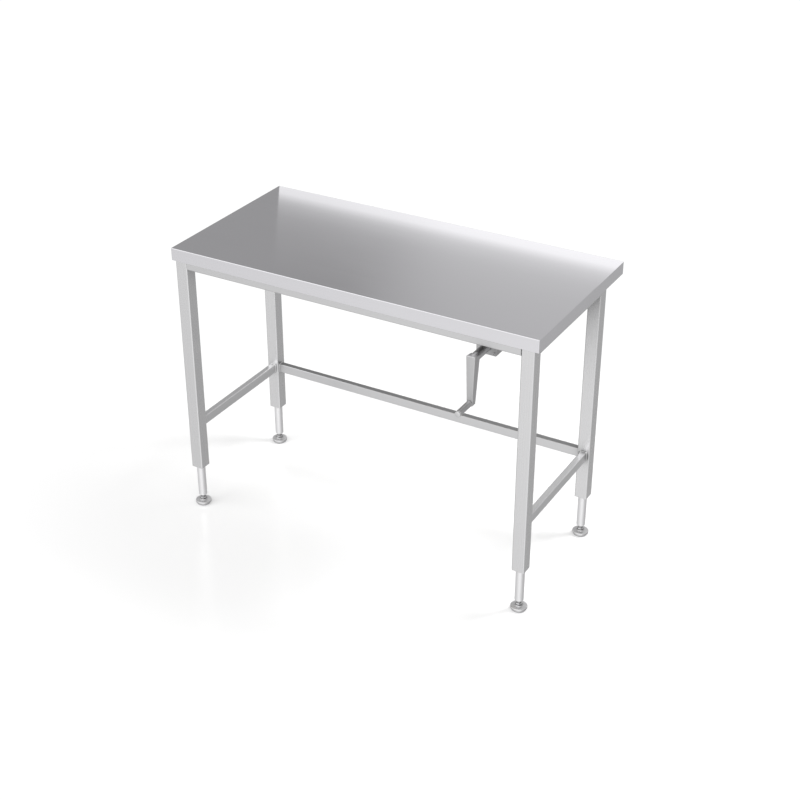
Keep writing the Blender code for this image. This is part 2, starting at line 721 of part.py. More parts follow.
def build_plungers(table):
    """The plate that the spindle moves along the pump, with its four plungers."""
    inside_x = PUMP_WIDTH - 2 * PUMP_WALL - 2 * SLIP
    inside_z = PUMP_HEIGHT - 2 * PUMP_WALL - 2 * SLIP
    size = (inside_x, PLUNGER_PLATE, inside_z)
    plate = box("plunger_plate", size, PLUNGER_PLATE_CORNER)
    rods = []
    for x, z in plunger_places():
        length = PLUNGER_LENGTH + PLUNGER_PLATE / 2
        rods.append(moved(cylinder("rod", PLUNGER_DIAMETER, length), (x, length / 2, z), ALONG_Y))
    body = combine(plate, rods, "UNION")
    nut = cylinder("nut", SPINDLE_DIAMETER + 2 * SLIP, PLUNGER_PLATE + 2 * CUT_OVERRUN)
    body = shade(combine(body, [moved(nut, (0, 0, 0), ALONG_Y)], "DIFFERENCE"))
    rest_y = PLATE_LOWEST_Y + TURNS_DOWN * SPINDLE_PITCH + PLUNGER_PLATE / 2
    slide = new_empty("plunger_slide", (PUMP_CENTRE_X, rest_y, CRANK_AXIS_Z), table)
    new_part("pump_plunger_plate", body, DULL_STEEL, (0, 0, 0), slide)


def arm_mesh():
    """The crank's arm and hub in one piece. The hub's axis is y, and the arm hangs down."""
    bm = bmesh.new()
    bmesh.ops.create_cube(bm, size=1.0)
    for vertex in bm.verts:
        at_hub = vertex.co.z > 0
        width = ARM_WIDTH_AT_HUB if at_hub else ARM_WIDTH_AT_GRIP
        depth = ARM_DEPTH_AT_HUB if at_hub else ARM_DEPTH_AT_GRIP
        at_back = vertex.co.y > 0
        fall = ARM_TOP_FALL if at_back else 0.0
        vertex.co.x *= width
        vertex.co.y = depth if at_back else 0.0
        vertex.co.z = ARM_WIDTH_AT_HUB / 2 - fall if at_hub else -CRANK_THROW - ARM_WIDTH_AT_GRIP / 2
    bmesh.ops.bevel(
        bm,
        geom=list(bm.edges),
        offset=ARM_CORNER,
        segments=FOLD_SEGMENTS,
        profile=0.5,
        affect="EDGES",
    )
    arm = finished_mesh(bm, "crank_arm")
    hub = cylinder("hub", HUB_DIAMETER, HUB_LENGTH - HUB_START, FINE_STEPS)
    moved(hub, (0, (HUB_LENGTH + HUB_START) / 2, 0), ALONG_Y)
    arm = combine(arm, [hub], "UNION")
    bore = cylinder("bore", SHAFT_DIAMETER + 2 * TOUCH, HUB_BORE_DEPTH + CUT_OVERRUN)
    moved(bore, (0, HUB_LENGTH + (CUT_OVERRUN - HUB_BORE_DEPTH) / 2, 0), ALONG_Y)
    pin_hole = cylinder("pin_hole", PIN_DIAMETER + 2 * TOUCH, ARM_DEPTH_AT_HUB + 2 * CUT_OVERRUN)
    moved(pin_hole, (0, ARM_DEPTH_AT_HUB / 2, -CRANK_THROW), ALONG_Y)
    return shade(combine(arm, [bore, pin_hole], "DIFFERENCE"))


def build_crank(table):
    """The crank's arm on its spindle, and the grip that turns on a pin."""
    turn = new_empty("crank_turn", (PUMP_CENTRE_X, ARM_FRONT_Y, CRANK_AXIS_Z), table)
    new_part("crank_arm", arm_mesh(), SATIN_METAL, (0, 0, 0), turn)

    shaft = SHAFT_DIAMETER / 2
    collar = SPINDLE_COLLAR_DIAMETER / 2
    thread = SPINDLE_DIAMETER / 2
    front = HUB_LENGTH - HUB_BORE_DEPTH + TOUCH
    collar_front = CHAMBER_FRONT_Y - ARM_FRONT_Y
    collar_rear = collar_front + SPINDLE_COLLAR - PLATE_END_GAP
    rear = BLOCK_FRONT_Y - TOUCH - PLATE_END_GAP - ARM_FRONT_Y
    spindle_profile = [
        (0, front),
        (shaft - SMALL_CHAMFER, front),
        (shaft, front + SMALL_CHAMFER),
        (shaft, collar_front),
        (collar, collar_front),
        (collar, collar_rear),
        (thread, collar_rear),
        (thread, rear - SMALL_CHAMFER),
        (thread - SMALL_CHAMFER, rear),
        (0, rear),
    ]
    spindle = turned("crank_spindle", spindle_profile[::-1])
    new_part("crank_spindle", spindle, DULL_STEEL, (0, 0, 0), turn, ALONG_Y)

    pin_radius = PIN_DIAMETER / 2
    head = PIN_HEAD_DIAMETER / 2
    pin_front = PIN_FRONT_Y - ARM_FRONT_Y
    pin_rear = ARM_DEPTH_AT_GRIP
    pin_profile = [
        (0, pin_front),
        (head - SMALL_CHAMFER, pin_front),
        (head, pin_front + SMALL_CHAMFER),
        (head, pin_front + PIN_HEAD),
        (pin_radius, pin_front + PIN_HEAD),
        (pin_radius, pin_rear - SMALL_CHAMFER),
        (pin_radius - SMALL_CHAMFER, pin_rear),
        (0, pin_rear),
    ]
    pin = turned("grip_pin", pin_profile[::-1])
    new_part("grip_pin", pin, CHROME, (0, 0, -CRANK_THROW), turn, ALONG_Y)

    spin = new_empty("grip_spin", (0, 0, -CRANK_THROW), turn)
    outer = GRIP_DIAMETER / 2
    inner = PIN_DIAMETER / 2 + SLIP
    grip_front = GRIP_FRONT_Y - ARM_FRONT_Y
    grip_rear = -TOUCH
    rounding = GRIP_END_ROUNDING
    grip_profile = [
        (inner, grip_front),
        (outer - rounding, grip_front),
        (outer - GRIP_ARC_SHRINK, grip_front + GRIP_ARC_SHRINK),
        (outer, grip_front + rounding),
        (outer, grip_rear - rounding),
        (outer - GRIP_ARC_SHRINK, grip_rear - GRIP_ARC_SHRINK),
        (outer - rounding, grip_rear),
        (inner, grip_rear),
    ]
    grip = turned("crank_grip", grip_profile[::-1], ring=True)
    new_part("crank_grip", grip, SATIN_METAL, (0, 0, 0), spin, ALONG_Y)


def hose_entry_y(leg_y, facing):
    """Where a hose goes through the side rail, just beside the leg that it feeds."""
    return leg_y + facing * (LEG_SIZE / 2 + HOSE_TURN_FROM_LEG)


def build_hoses(table):
    """Each hose rises behind the pump, runs under the board and turns into a leg inside the rail."""
    inside_leg = LEG_SIZE / 2 - LEG_WALL
    rear_lane_y = hose_entry_y(REAR_LEG_Y, -1)
    for name, side, leg_y, facing in LEGS:
        to_front = facing > 0
        level = 1 if to_front else -1
        port_x = PUMP_CENTRE_X + side * PLUNGER_SPACING_X / 2
        port_z = CRANK_AXIS_Z + level * PLUNGER_SPACING_Z / 2
        lane_y = rear_lane_y - (HOSE_LANE_SPACING if to_front else 0)
        leg_x = side * LEG_X
        entry_y = hose_entry_y(leg_y, facing)
        corners = [
            (port_x, BLOCK_REAR_Y + TOUCH, port_z),
            (port_x, lane_y, port_z),
            (port_x, lane_y, HOSE_Z),
        ]
        if to_front:
            turn_x = side * (SIDE_RAIL_X - TOP_RAIL_SIZE / 2 - HOSE_FROM_RAIL)
            corners += [(turn_x, lane_y, HOSE_Z), (turn_x, entry_y, HOSE_Z)]
        corners += [(leg_x, entry_y, HOSE_Z), (leg_x, leg_y + facing * inside_leg, HOSE_Z)]
        points = bent_path(corners, HOSE_BEND_RADIUS)
        hose_part(f"hose_{name}", points, HOSE, table)


clear_scene()
PARTS = new_collection("stainless_steel_table")
CUTTERS = new_collection("cutters")

BRUSHED_STEEL = new_material("brushed_steel", (0.62, 0.62, 0.63), 0.32, 1.0)
ROUND_STEEL = new_material("drawn_steel", (0.70, 0.70, 0.71), 0.18, 1.0)
DULL_STEEL = new_material("dull_steel", (0.50, 0.50, 0.51), 0.40, 1.0)
CAST_STEEL = new_material("cast_steel", (0.45, 0.45, 0.46), 0.38, 1.0)
SATIN_METAL = new_material("satin_metal", (0.48, 0.48, 0.49), 0.35, 1.0)
DARK_METAL = new_material("dark_metal", (0.30, 0.30, 0.31), 0.40, 1.0)
CHROME = new_material("chrome", (0.75, 0.75, 0.76), 0.10, 1.0)
PLASTIC = new_material("plastic", (0.05, 0.05, 0.055), 0.50, 0.0)
RUBBER = new_material("rubber", (0.45, 0.45, 0.46), 0.70, 0.0)
HOSE = new_material("hose", (0.04, 0.04, 0.045), 0.55, 0.0)
BOARD = new_material("board", (0.42, 0.33, 0.22), 0.70, 0.0)

TABLE = new_empty("table", (0, TABLE_Y, 0))
build_top(TABLE)
build_outer_legs(TABLE)
build_top_rails(TABLE)
build_lower_rails(TABLE)
build_guides_and_cylinders(TABLE)
build_moving_legs(TABLE)
build_pump_carriers(TABLE)
build_pump(TABLE)
build_plungers(TABLE)
build_crank(TABLE)
build_hoses(TABLE)
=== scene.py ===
"""The looks of the stainless steel table: materials, fine pieces, welds, light and camera."""
import json
import math

import bmesh
import bpy
from mathutils import Matrix, Vector

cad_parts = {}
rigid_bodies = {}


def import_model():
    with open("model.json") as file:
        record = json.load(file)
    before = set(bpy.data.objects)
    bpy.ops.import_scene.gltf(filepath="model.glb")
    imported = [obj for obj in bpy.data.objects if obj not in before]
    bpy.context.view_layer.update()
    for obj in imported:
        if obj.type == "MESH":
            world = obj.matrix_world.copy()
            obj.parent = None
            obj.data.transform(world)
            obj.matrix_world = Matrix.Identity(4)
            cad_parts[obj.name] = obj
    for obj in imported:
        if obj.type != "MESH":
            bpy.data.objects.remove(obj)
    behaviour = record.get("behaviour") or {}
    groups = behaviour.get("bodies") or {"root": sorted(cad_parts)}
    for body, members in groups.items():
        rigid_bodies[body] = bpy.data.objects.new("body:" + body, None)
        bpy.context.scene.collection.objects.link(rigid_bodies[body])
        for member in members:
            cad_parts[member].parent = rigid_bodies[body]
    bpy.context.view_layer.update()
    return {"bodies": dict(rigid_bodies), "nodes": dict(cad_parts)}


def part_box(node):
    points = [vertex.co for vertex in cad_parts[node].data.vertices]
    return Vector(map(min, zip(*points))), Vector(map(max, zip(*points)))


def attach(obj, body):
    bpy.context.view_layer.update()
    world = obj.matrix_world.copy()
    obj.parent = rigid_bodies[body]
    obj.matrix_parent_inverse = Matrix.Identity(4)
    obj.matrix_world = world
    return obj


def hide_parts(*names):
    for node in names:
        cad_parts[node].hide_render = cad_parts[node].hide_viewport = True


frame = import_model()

LEG_NAMES = ("front_left", "front_right", "rear_left", "rear_right")
AXES = {"x": Vector((1, 0, 0)), "y": Vector((0, 1, 0)), "z": Vector((0, 0, 1))}
PUMP_NODES = ("pump_front_plate", "pump_housing", "pump_cylinder_block")

# The camera of the photo, in metres from the object's origin
CAMERA_PLACE = (1.99415, -3.40535, 2.68216)
CAMERA_BACK = (0.431245, -0.754757, 0.494338)
CAMERA_LENS = 66.94
CAMERA_SENSOR = 36.0
CAMERA_CLIP_END = 200.0

# Every size is in metres. GAP lies between parts that fit each other, a radius below TIP is a
# tip, and vertices nearer than JOIN_DISTANCE become one.
GAP = 0.0003
TIP = 1e-7
JOIN_DISTANCE = 5e-6

# Legs and feet. The pad's lower edge has (inward, height), a groove (outward, depth), and the
# thread's end (inset, height).
LEG_WALL = 0.002
LEG_ROUNDING = 0.0010
LEG_PLUG = 0.025
RAM_SEAT = 0.009
RAM_SEAT_PLATE = 0.015
STEM_BORE = 0.0063
FOOT_HUB = 0.0120
FOOT_SHOULDER = 0.0140
FOOT_RIM_TOP = 0.0121
FOOT_ROUNDING = 0.0012
PAD_BEVEL = 0.0006
PAD_LOWER_EDGE = ((0.0, 0.0012), (0.0004, 0.0004), (0.0010, 0.0))
GROOVES = 5
GROOVE_START = 0.005
GROOVE_STEP = 0.0032
GROOVE_SHAPE = ((0.0, 0.0), (0.0004, 0.0007), (0.0010, 0.0007), (0.0014, 0.0))
STEM_RADIUS = 0.0060
STEM_COLUMNS = 40
STEM_BEVEL = 0.0008
PLAIN_INSET = 0.0004
PLAIN_END_IN_NUT = 0.0010
THREAD_PITCH = 0.00175
THREAD_DEPTH = 0.00095
THREAD_ROWS = 8
THREAD_PEAK = 1.45
THREAD_FLANK = 3.2
THREAD_END = (0.0005, 0.0002)
NUT_ACROSS = 0.017
NUT_BOTTOM = 0.018
NUT_TOP = 0.024
NUT_FACE_SHARE = 0.97
NUT_COLUMNS = 72
NUT_BITE = 0.0003

# Welds
WELD = 0.0020
WELD_ROOT = 0.0002
WELD_CORNER = 0.003
RIPPLE = 0.0016
RIPPLE_HEIGHT = 0.08
FILLET = ((0.80, 0.22), (0.50, 0.50), (0.22, 0.80))

# Crank. The arm has (width, depth) at each end.
ARM_AT_HUB = (0.028, 0.031)
ARM_AT_GRIP = (0.018, 0.020)
ARM_EDGE = 0.003
ARM_FALL = 0.005
THROW = 0.130
HUB_RADIUS = 0.013
HUB_START = 0.010
HUB_ROUNDING = 0.0010
BORE_DEPTH = 0.070
SHAFT_RADIUS = 0.006
PIN_RADIUS = 0.004
PIN_HEAD = 0.003
PIN_ROUNDING = 0.0009
GRIP_BORE = 0.0045
GRIP_ROUNDING = 0.0030
BUSH_BORE = 0.0065
BUSH_RADIUS = 0.009
BUSH_FLANGE = 0.002
BUSH_ROUNDING = 0.0005
CUT_PAST_FACE = 0.002

# Screws: diameter and height of the head, and the size of its socket. The socket's mouth is a
# share of its size, and its depth and tip are shares of the head's height.
PLATE_SCREW = (0.007, 0.004, 0.003)
HANGER_SCREW = (0.010, 0.005, 0.005)
HUB_SCREW = (0.006, 0.0016, 0.003)
HUB_SCREW_FROM_END = 0.012
HUB_SCREW_SUNK = 0.0004
SCREW_COLUMNS = 48
SCREW_ROUNDING = 0.0003
SCREW_SOCKET_MOUTH = 0.62
SCREW_SOCKET_DEPTH = 0.55
SCREW_SOCKET_TIP = 0.58

# Pump and hoses. A fitting has a nut (across, thickness) and a sleeve (two radii, end).
PLATE_SCREW_INSET = 0.0075
PLUNGER_X = 0.019
PLUNGER_Z = 0.011
FITTING_BORE = 0.0026
FITTING_NUT = (0.010, 0.006)
FITTING_SLEEVE = (0.0044, 0.0036, 0.013)
SLEEVE_ROUNDING = 0.0004
HOSE_RADIUS = 0.0025
HOSE_DROP = 0.0113
HOSE_LANE = 0.042
HOSE_LANE_STEP = 0.020
HOSE_FROM_LEG = 0.048
CLIP_THICKNESS = 0.0008
CLIP_WIDTH = 0.008
CLIP_REACH = 0.0125
CLIP_BEND = 0.0016
CLIP_BEND_MIDDLE = 0.0005
CLIP_SCREW_INSET = 0.0040
CLIP_SCREW = ((0, 0), (0.0026, 0), (0.0026, 0.0008), (0.0012, 0.0015), (0, 0.0015))
CLIP_SCREW_ROUNDING = 0.0005
CLIPS_ALONG_X = {
    "rear_left": (0.216, -0.084, -0.384),
    "front_left": (0.200, -0.100, -0.400),
    "rear_right": (0.500,),
    "front_right": (),
}
CLIPS_ALONG_Y = (0.085, -0.085)


def middle_of(node):
    """The middle of a node's box."""
    low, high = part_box(node)
    return (low + high) / 2


def link(item):
    """Put an object in the scene."""
    bpy.context.scene.collection.objects.link(item)
    return item


# Camera

def make_camera():
    """The camera at the photo's viewing angle."""
    data = bpy.data.cameras.new("camera")
    data.sensor_width = CAMERA_SENSOR
    data.lens = CAMERA_LENS
    data.clip_end = CAMERA_CLIP_END
    camera = link(bpy.data.objects.new("camera", data))
    camera.location = CAMERA_PLACE
    camera.rotation_mode = "QUATERNION"
    camera.rotation_quaternion = (-Vector(CAMERA_BACK)).to_track_quat("-Z", "Y")
    bpy.context.scene.camera = camera


# Node helpers

class Graph:
    """A short way to write a node tree."""

    def __init__(self, tree):
        self.tree = tree
        self.tree.nodes.clear()

    def add(self, kind, inputs=None, **settings):
        """A node with its inputs set to numbers or linked to sockets."""
        node = self.tree.nodes.new(kind)
        for name, value in settings.items():
            setattr(node, name, value)
        for name, value in (inputs or {}).items():
            self.feed(node.inputs[name], value)
        return node

    def feed(self, socket, value):
        """A link from a socket, or a plain value."""
        if isinstance(value, bpy.types.NodeSocket):
            self.tree.links.new(value, socket)
        else:
            socket.default_value = value

    def math(self, operation, a, b=0.0):
        """One Math node's result."""
        return self.add("ShaderNodeMath", {0: a, 1: b}, operation=operation).outputs[0]

    def total(self, *parts):
        """The sum of the parts."""
        result = parts[0]
        for part in parts[1:]:
            result = self.math("ADD", result, part)
        return result

    def blend(self, first, second, share):
        """The first value's share plus the rest from the second."""
        return self.total(self.math("MULTIPLY", first, share), self.math("MULTIPLY", second, 1 - share))

    def dot(self, vector, direction):
        """The dot product with a fixed direction of length 1."""
        fixed = tuple(Vector(direction).normalized())
        node = self.add("ShaderNodeVectorMath", {0: vector, 1: fixed}, operation="DOT_PRODUCT")
        return node.outputs["Value"]

    def ease(self, value, low, high, start, end):
        """A smooth step from start to end while value goes from low to high."""
        node = self.add(
            "ShaderNodeMapRange",
            {"Value": value, "From Min": low, "From Max": high, "To Min": start, "To Max": end},
            interpolation_type="SMOOTHSTEP",
        )
        return node.outputs["Result"]

    def scaled(self, vector, scale):
        """A vector times a scale on each axis."""
        node = self.add("ShaderNodeVectorMath", {0: vector, 1: scale}, operation="MULTIPLY")
        return node.outputs["Vector"]

    def noise(self, vector, scale, detail=2.0, roughness=0.5):
        """Noise from 0 to 1."""
        node = self.add(
            "ShaderNodeTexNoise",
            {"Vector": vector, "Scale": scale, "Detail": detail, "Roughness": roughness},
        )
        return node.outputs["Fac"]

    def place(self):
        """The point in the object's own coordinates."""
        return self.add("ShaderNodeTexCoord").outputs["Object"]

    def parts(self, vector):
        """The X, Y and Z of a vector."""
        return self.add("ShaderNodeSeparateXYZ", {0: vector}).outputs

    def mix(self, factor, first, second):
        """A mix of two colours."""
        node = self.add("ShaderNodeMix", data_type="RGBA")
        for index, value in (("Factor", factor), (6, first), (7, second)):
            self.feed(node.inputs[index], value)
        return node.outputs[2]

    def glow(self, strength, colour=(1.0, 1.0, 1.0, 1.0)):
        """An emission shader."""
        return self.add("ShaderNodeEmission", {"Color": colour, "Strength": strength}).outputs[0]

    def close(self, shader):
        """Link a shader to the material's output."""
        output = self.add("ShaderNodeOutputMaterial")
        self.tree.links.new(shader, output.inputs["Surface"])

    def surface(self, base, rough, metallic, height, depth, distance):
        """A shiny or matt surface with a bump, linked to the material's output."""
        bump = self.add("ShaderNodeBump", {"Strength": depth, "Distance": distance, "Height": height})
        inputs = {
            "Base Color": base, "Roughness": rough, "Metallic": metallic,
            "Normal": bump.outputs["Normal"],
        }
        self.close(self.add("ShaderNodeBsdfPrincipled", inputs).outputs[0])


def grey(value, tint=0.0):
    """A grey, a little cooler where tint is above 0."""
    return (value, value * (1 - 0.35 * tint), value * (1 + tint), 1.0)


def new_material(name):
    """A material with an empty tree, and the graph to fill it."""
    material = bpy.data.materials.new(name)
    material.use_nodes = True
    return material, Graph(material.node_tree)


# Materials

GRAIN_ALONG = {"x": (3.0, 420.0, 420.0), "y": (420.0, 3.0, 420.0), "z": (420.0, 420.0, 3.0)}
COARSE_GRAIN = 0.12
PEBBLE = 900.0
COARSE_PEBBLE = 60.0
# The share of a metal's colour left in its darkest painted shade
DARKEST_PAINTED_SHADE = 0.12


def grain_of(graph, place, grain):
    """The height of a grain along an axis, or of fine pebbles where grain is None."""
    if grain is None:
        fine = graph.noise(place, PEBBLE, 2.0)
        coarse = graph.noise(place, COARSE_PEBBLE, 3.0)
    else:
        scale = GRAIN_ALONG[grain]
        fine = graph.noise(graph.scaled(place, scale), 1.0, 4.0, 0.65)
        coarse = graph.noise(graph.scaled(place, tuple(v * COARSE_GRAIN for v in scale)), 1.0, 3.0)
    return graph.blend(fine, coarse, 0.6)


def metal(
    name, colour, roughness, spread, depth, grain=None, mottle=0.04, tint=0.008,
    upward=1.0, painted_shade_reach=0.24, painted_shade_span=(0.0, 0.95),
):
    """A metal with a grain and faint cloudiness, which can carry painted shade and a painted highlight.

    spread and mottle vary the roughness and the colour, and depth is the grain's strength.
    upward scales the colour of faces that look up: a painted highlight above 1 and painted shade below
    1. painted_shade_reach is the distance within which other parts paint shade into the colour, fully at
    painted_shade_span[0] and not at all at painted_shade_span[1].
    """
    material, graph = new_material(name)
    place = graph.place()
    tone = grain_of(graph, place, grain)
    shade = graph.blend(tone, graph.noise(place, 6.0, 3.0), 0.7)
    base = graph.mix(shade, grey(colour * (1 - mottle), tint), grey(colour * (1 + mottle), tint))
    # Painted light: faces that look up are made lighter or darker
    if upward != 1.0:
        facing = graph.add("ShaderNodeTexCoord").outputs["Normal"]
        base = graph.scaled(base, graph.ease(graph.parts(facing)["Z"], 0.6, 0.9, 1.0, upward))
    # Painted shade: the colour darkens where other parts are near, in corners and under things
    if painted_shade_reach:
        open_sky = graph.add("ShaderNodeAmbientOcclusion", {"Distance": painted_shade_reach}, samples=16).outputs["AO"]
        base = graph.scaled(base, graph.ease(open_sky, painted_shade_span[0], painted_shade_span[1], DARKEST_PAINTED_SHADE, 1.0))
    rough = graph.ease(shade, 0.3, 0.7, roughness - spread, roughness + spread)
    graph.surface(base, rough, metallic=1.0, height=tone, depth=depth, distance=0.0002)
    return material


def plastic(name, colour, roughness, pebble, depth, scale=700.0):
    """A moulded plastic or rubber with a fine texture and faint cloudiness."""
    material, graph = new_material(name)
    place = graph.place()
    fine = graph.noise(place, scale, 3.0)
    shade = graph.blend(graph.noise(place, 25.0, 3.0), fine, 0.6)
    dark = tuple(v * (1 - pebble) for v in colour) + (1.0,)
    light = tuple(v * (1 + pebble) for v in colour) + (1.0,)
    rough = graph.ease(shade, 0.3, 0.7, roughness - 0.06, roughness + 0.06)
    base = graph.mix(shade, dark, light)
    graph.surface(base, rough, metallic=0.0, height=fine, depth=depth, distance=0.0003)
    return material


def board_material():
    """Pressed wood board: pale chips in a darker ground."""
    material, graph = new_material("board")
    place = graph.scaled(graph.place(), (1.0, 1.7, 1.0))
    chips = graph.add("ShaderNodeTexVoronoi", {"Vector": place, "Scale": 210.0})
    tone = graph.add("ShaderNodeSeparateColor", {"Color": chips.outputs["Color"]}).outputs["Red"]
    base = graph.mix(tone, (0.42, 0.40, 0.37, 1.0), (0.58, 0.56, 0.52, 1.0))
    rough = graph.ease(tone, 0.0, 1.0, 0.62, 0.82)
    graph.surface(base, rough, metallic=0.0, height=tone, depth=0.3, distance=0.0004)
    return material


# Each metal has its name, colour, roughness, spread and depth, then the grain's axis and the mottle
# Unless painted_shade_reach is 0, a metal has painted shade where other parts are near
TOP_STEEL = metal("top_steel", 0.69, 0.13, 0.02, 0.06, "x", tint=0.026, painted_shade_reach=0.0)
LEG_STEEL = metal("leg_steel", 0.66, 0.27, 0.02, 0.025, "z", 0.015)
# A copy of the leg steel with deeper painted shade, for the rear right leg under the top
PAINTED_SHADE_LEG_STEEL = metal(
    "painted_shade_leg_steel", 0.66, 0.27, 0.02, 0.025, "z", 0.015, painted_shade_reach=0.5, painted_shade_span=(0.42, 0.94)
)
# Painted shade on the cross rails: darker than the legs, with darker top faces. Painted highlight on the
# side rails' top faces.
CROSS_STEEL_PAINTED_SHADE = metal("cross_steel_painted_shade", 0.60, 0.30, 0.02, 0.05, "x", 0.025, upward=0.62)
SIDE_STEEL_PAINTED_LIGHT = metal("side_steel_painted_light", 0.66, 0.30, 0.02, 0.05, "y", 0.025, upward=1.28)
DRAWN_STEEL = metal("drawn_steel", 0.80, 0.46, 0.03, 0.04, "z", 0.02)
TURNED_STEEL = metal("turned_steel", 0.55, 0.28, 0.04, 0.08, painted_shade_reach=0.0)
CAST_STEEL = metal("cast_steel", 0.84, 0.42, 0.05, 0.35)
# Painted shade for the foot's rim and hub
PAINTED_SHADE_RIM_STEEL = metal("painted_shade_rim_steel", 0.58, 0.34, 0.05, 0.2)
DULL_STEEL = metal("dull_steel", 0.45, 0.38, 0.05, 0.2)
CRANK_METAL = metal("crank_metal", 0.50, 0.41, 0.04, 0.25, painted_shade_reach=0.0)
WELD_STEEL = metal("weld_steel", 0.60, 0.36, 0.05, 0.3)
CHROME = metal("chrome_rod", 0.62, 0.12, 0.02, 0.02, mottle=0.02)
PUMP_METAL = metal("pump_metal", 0.42, 0.40, 0.05, 0.3, mottle=0.10, painted_shade_reach=0.0)
BUSH_PLASTIC = plastic("bush_plastic", (0.030, 0.031, 0.033), 0.48, 0.2, 0.15)
PAD_RUBBER = plastic("pad_rubber", (0.30, 0.30, 0.305), 0.66, 0.08, 0.25)
HOSE_SKIN = plastic("hose_skin", (0.028, 0.028, 0.031), 0.50, 0.2, 0.3, 1500.0)
BOARD = board_material()

# The first row that a CAD node's name starts with gives its finish
FINISHES = (
    (("table_top",), TOP_STEEL),
    (("top_rail_front", "top_rail_rear", "lower_rail_rear"), CROSS_STEEL_PAINTED_SHADE),
    (("top_rail", "lower_rail"), SIDE_STEEL_PAINTED_LIGHT),
    # The rear right leg takes the copy with deeper painted shade
    (("outer_leg_rear_right",), PAINTED_SHADE_LEG_STEEL),
    (("outer_leg",), LEG_STEEL),
    (("inner_leg",), DRAWN_STEEL),
    (("foot_disc",), CAST_STEEL),
    (("foot_stem",), TURNED_STEEL),
    (("foot_pad",), PAD_RUBBER),
    (("guide_bush",), BUSH_PLASTIC),
    (("hose",), HOSE_SKIN),
    (PUMP_NODES, PUMP_METAL),
    (("crank_arm", "crank_grip"), CRANK_METAL),
    (("backing_board",), BOARD),
    (("grip_pin", "lift_ram"), CHROME),
)


def material_of(name):
    """The finish of a CAD node, dull steel where no row fits."""
    for starts, material in FINISHES:
        if name.startswith(starts):
            return material
    return DULL_STEEL


def dress_nodes():
    """A material of its kind on every CAD node."""
    for name, item in frame["nodes"].items():
        item.data.materials.clear()
        item.data.materials.append(material_of(name))


# Mesh helpers

def soften(profile, radius, steps=3, closed=False):
    """A profile of (radius, height) with its corners rounded."""
    points = [Vector((r, h)) for r, h in profile]
    last = len(points) - 1
    smooth = []
    for index, corner in enumerate(points):
        if not closed and index in (0, last):
            smooth.append(tuple(corner))
            continue
        back = points[index - 1] - corner
        ahead = points[(index + 1) % len(points)] - corner
        room = min(radius, 0.45 * back.length, 0.45 * ahead.length)
        start = corner + back.normalized() * room
        end = corner + ahead.normalized() * room
        for step in range(steps + 1):
            t = step / steps
            smooth.append(tuple(start * (1 - t) ** 2 + corner * 2 * t * (1 - t) + end * t * t))
    return smooth


def ring_of(bm, height, radius_at, columns):
    """A ring of vertices about z, with the radius that radius_at gives for an angle."""
    ring = []
    for column in range(columns):
        angle = 2 * math.pi * column / columns
        radius = radius_at(angle)
        ring.append(bm.verts.new((radius * math.cos(angle), radius * math.sin(angle), height)))
    return ring


def join_rings(bm, rings, closed=False):
    """Faces between neighbouring rings of vertices. A ring of one vertex is a tip."""
    pairs = list(zip(rings, rings[1:]))
    if closed:
        pairs.append((rings[-1], rings[0]))
    for one, other in pairs:
        count = max(len(one), len(other))
        for j in range(count):
            k = (j + 1) % count
            if len(one) == 1:
                bm.faces.new((one[0], other[j], other[k]))
            elif len(other) == 1:
                bm.faces.new((one[j], one[k], other[0]))
            else:
                bm.faces.new((one[j], one[k], other[k], other[j]))


def turned(profile, columns=64, closed=False, reach=None):
    """A bmesh turned about z. reach(angle) limits the radius, as the flats of a hexagon do."""
    bm = bmesh.new()
    rings = []
    for radius, height in profile:
        if radius < TIP:
            rings.append([bm.verts.new((0.0, 0.0, height))])
        elif reach:
            rings.append(ring_of(bm, height, lambda angle: min(radius, reach(angle)), columns))
        else:
            rings.append(ring_of(bm, height, lambda angle: radius, columns))
    join_rings(bm, rings, closed)
    return bm


def hexagon(across):
    """The reach of a hexagon at an angle."""
    sector = math.pi / 3
    return lambda angle: across / 2 / math.cos((angle % sector) - sector / 2)


def flip(bm):
    """Turn a bmesh upside down."""
    bmesh.ops.rotate(bm, verts=bm.verts, matrix=Matrix.Rotation(math.pi, 3, "X"))


def shift(bm, step):
    """Move a bmesh."""
    bmesh.ops.translate(bm, verts=bm.verts, vec=step)


def copy_into(bm, other):
    """Add another bmesh to a bmesh, and free the other."""
    other.verts.index_update()
    copies = [bm.verts.new(vertex.co) for vertex in other.verts]
    for face in other.faces:
        bm.faces.new([copies[vertex.index] for vertex in face.verts])
    other.free()


def mesh_of(bm, name):
    """A mesh from a bmesh, which is freed."""
    bmesh.ops.recalc_face_normals(bm, faces=bm.faces)
    mesh = bpy.data.meshes.new(name)
    bm.to_mesh(mesh)
    bm.free()
    return mesh


TURN_TO = {"y": Matrix.Rotation(-math.pi / 2, 4, "X"), "z": Matrix()}


def new_piece(name, bm, material, body, place=(0, 0, 0), axis="z", replaced=None, sharp=32):
    """A piece from a bmesh, turned from z to an axis, moved to its place and set on its body."""
    mesh = mesh_of(bm, name)
    mesh.transform(Matrix.Translation(place) @ TURN_TO[axis])
    mesh.shade_smooth()
    mesh.set_sharp_from_angle(angle=math.radians(sharp))
    mesh.materials.append(material)
    piece = link(bpy.data.objects.new(name, mesh))
    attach(piece, body)
    if replaced:
        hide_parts(replaced)
    return piece


# Legs and feet

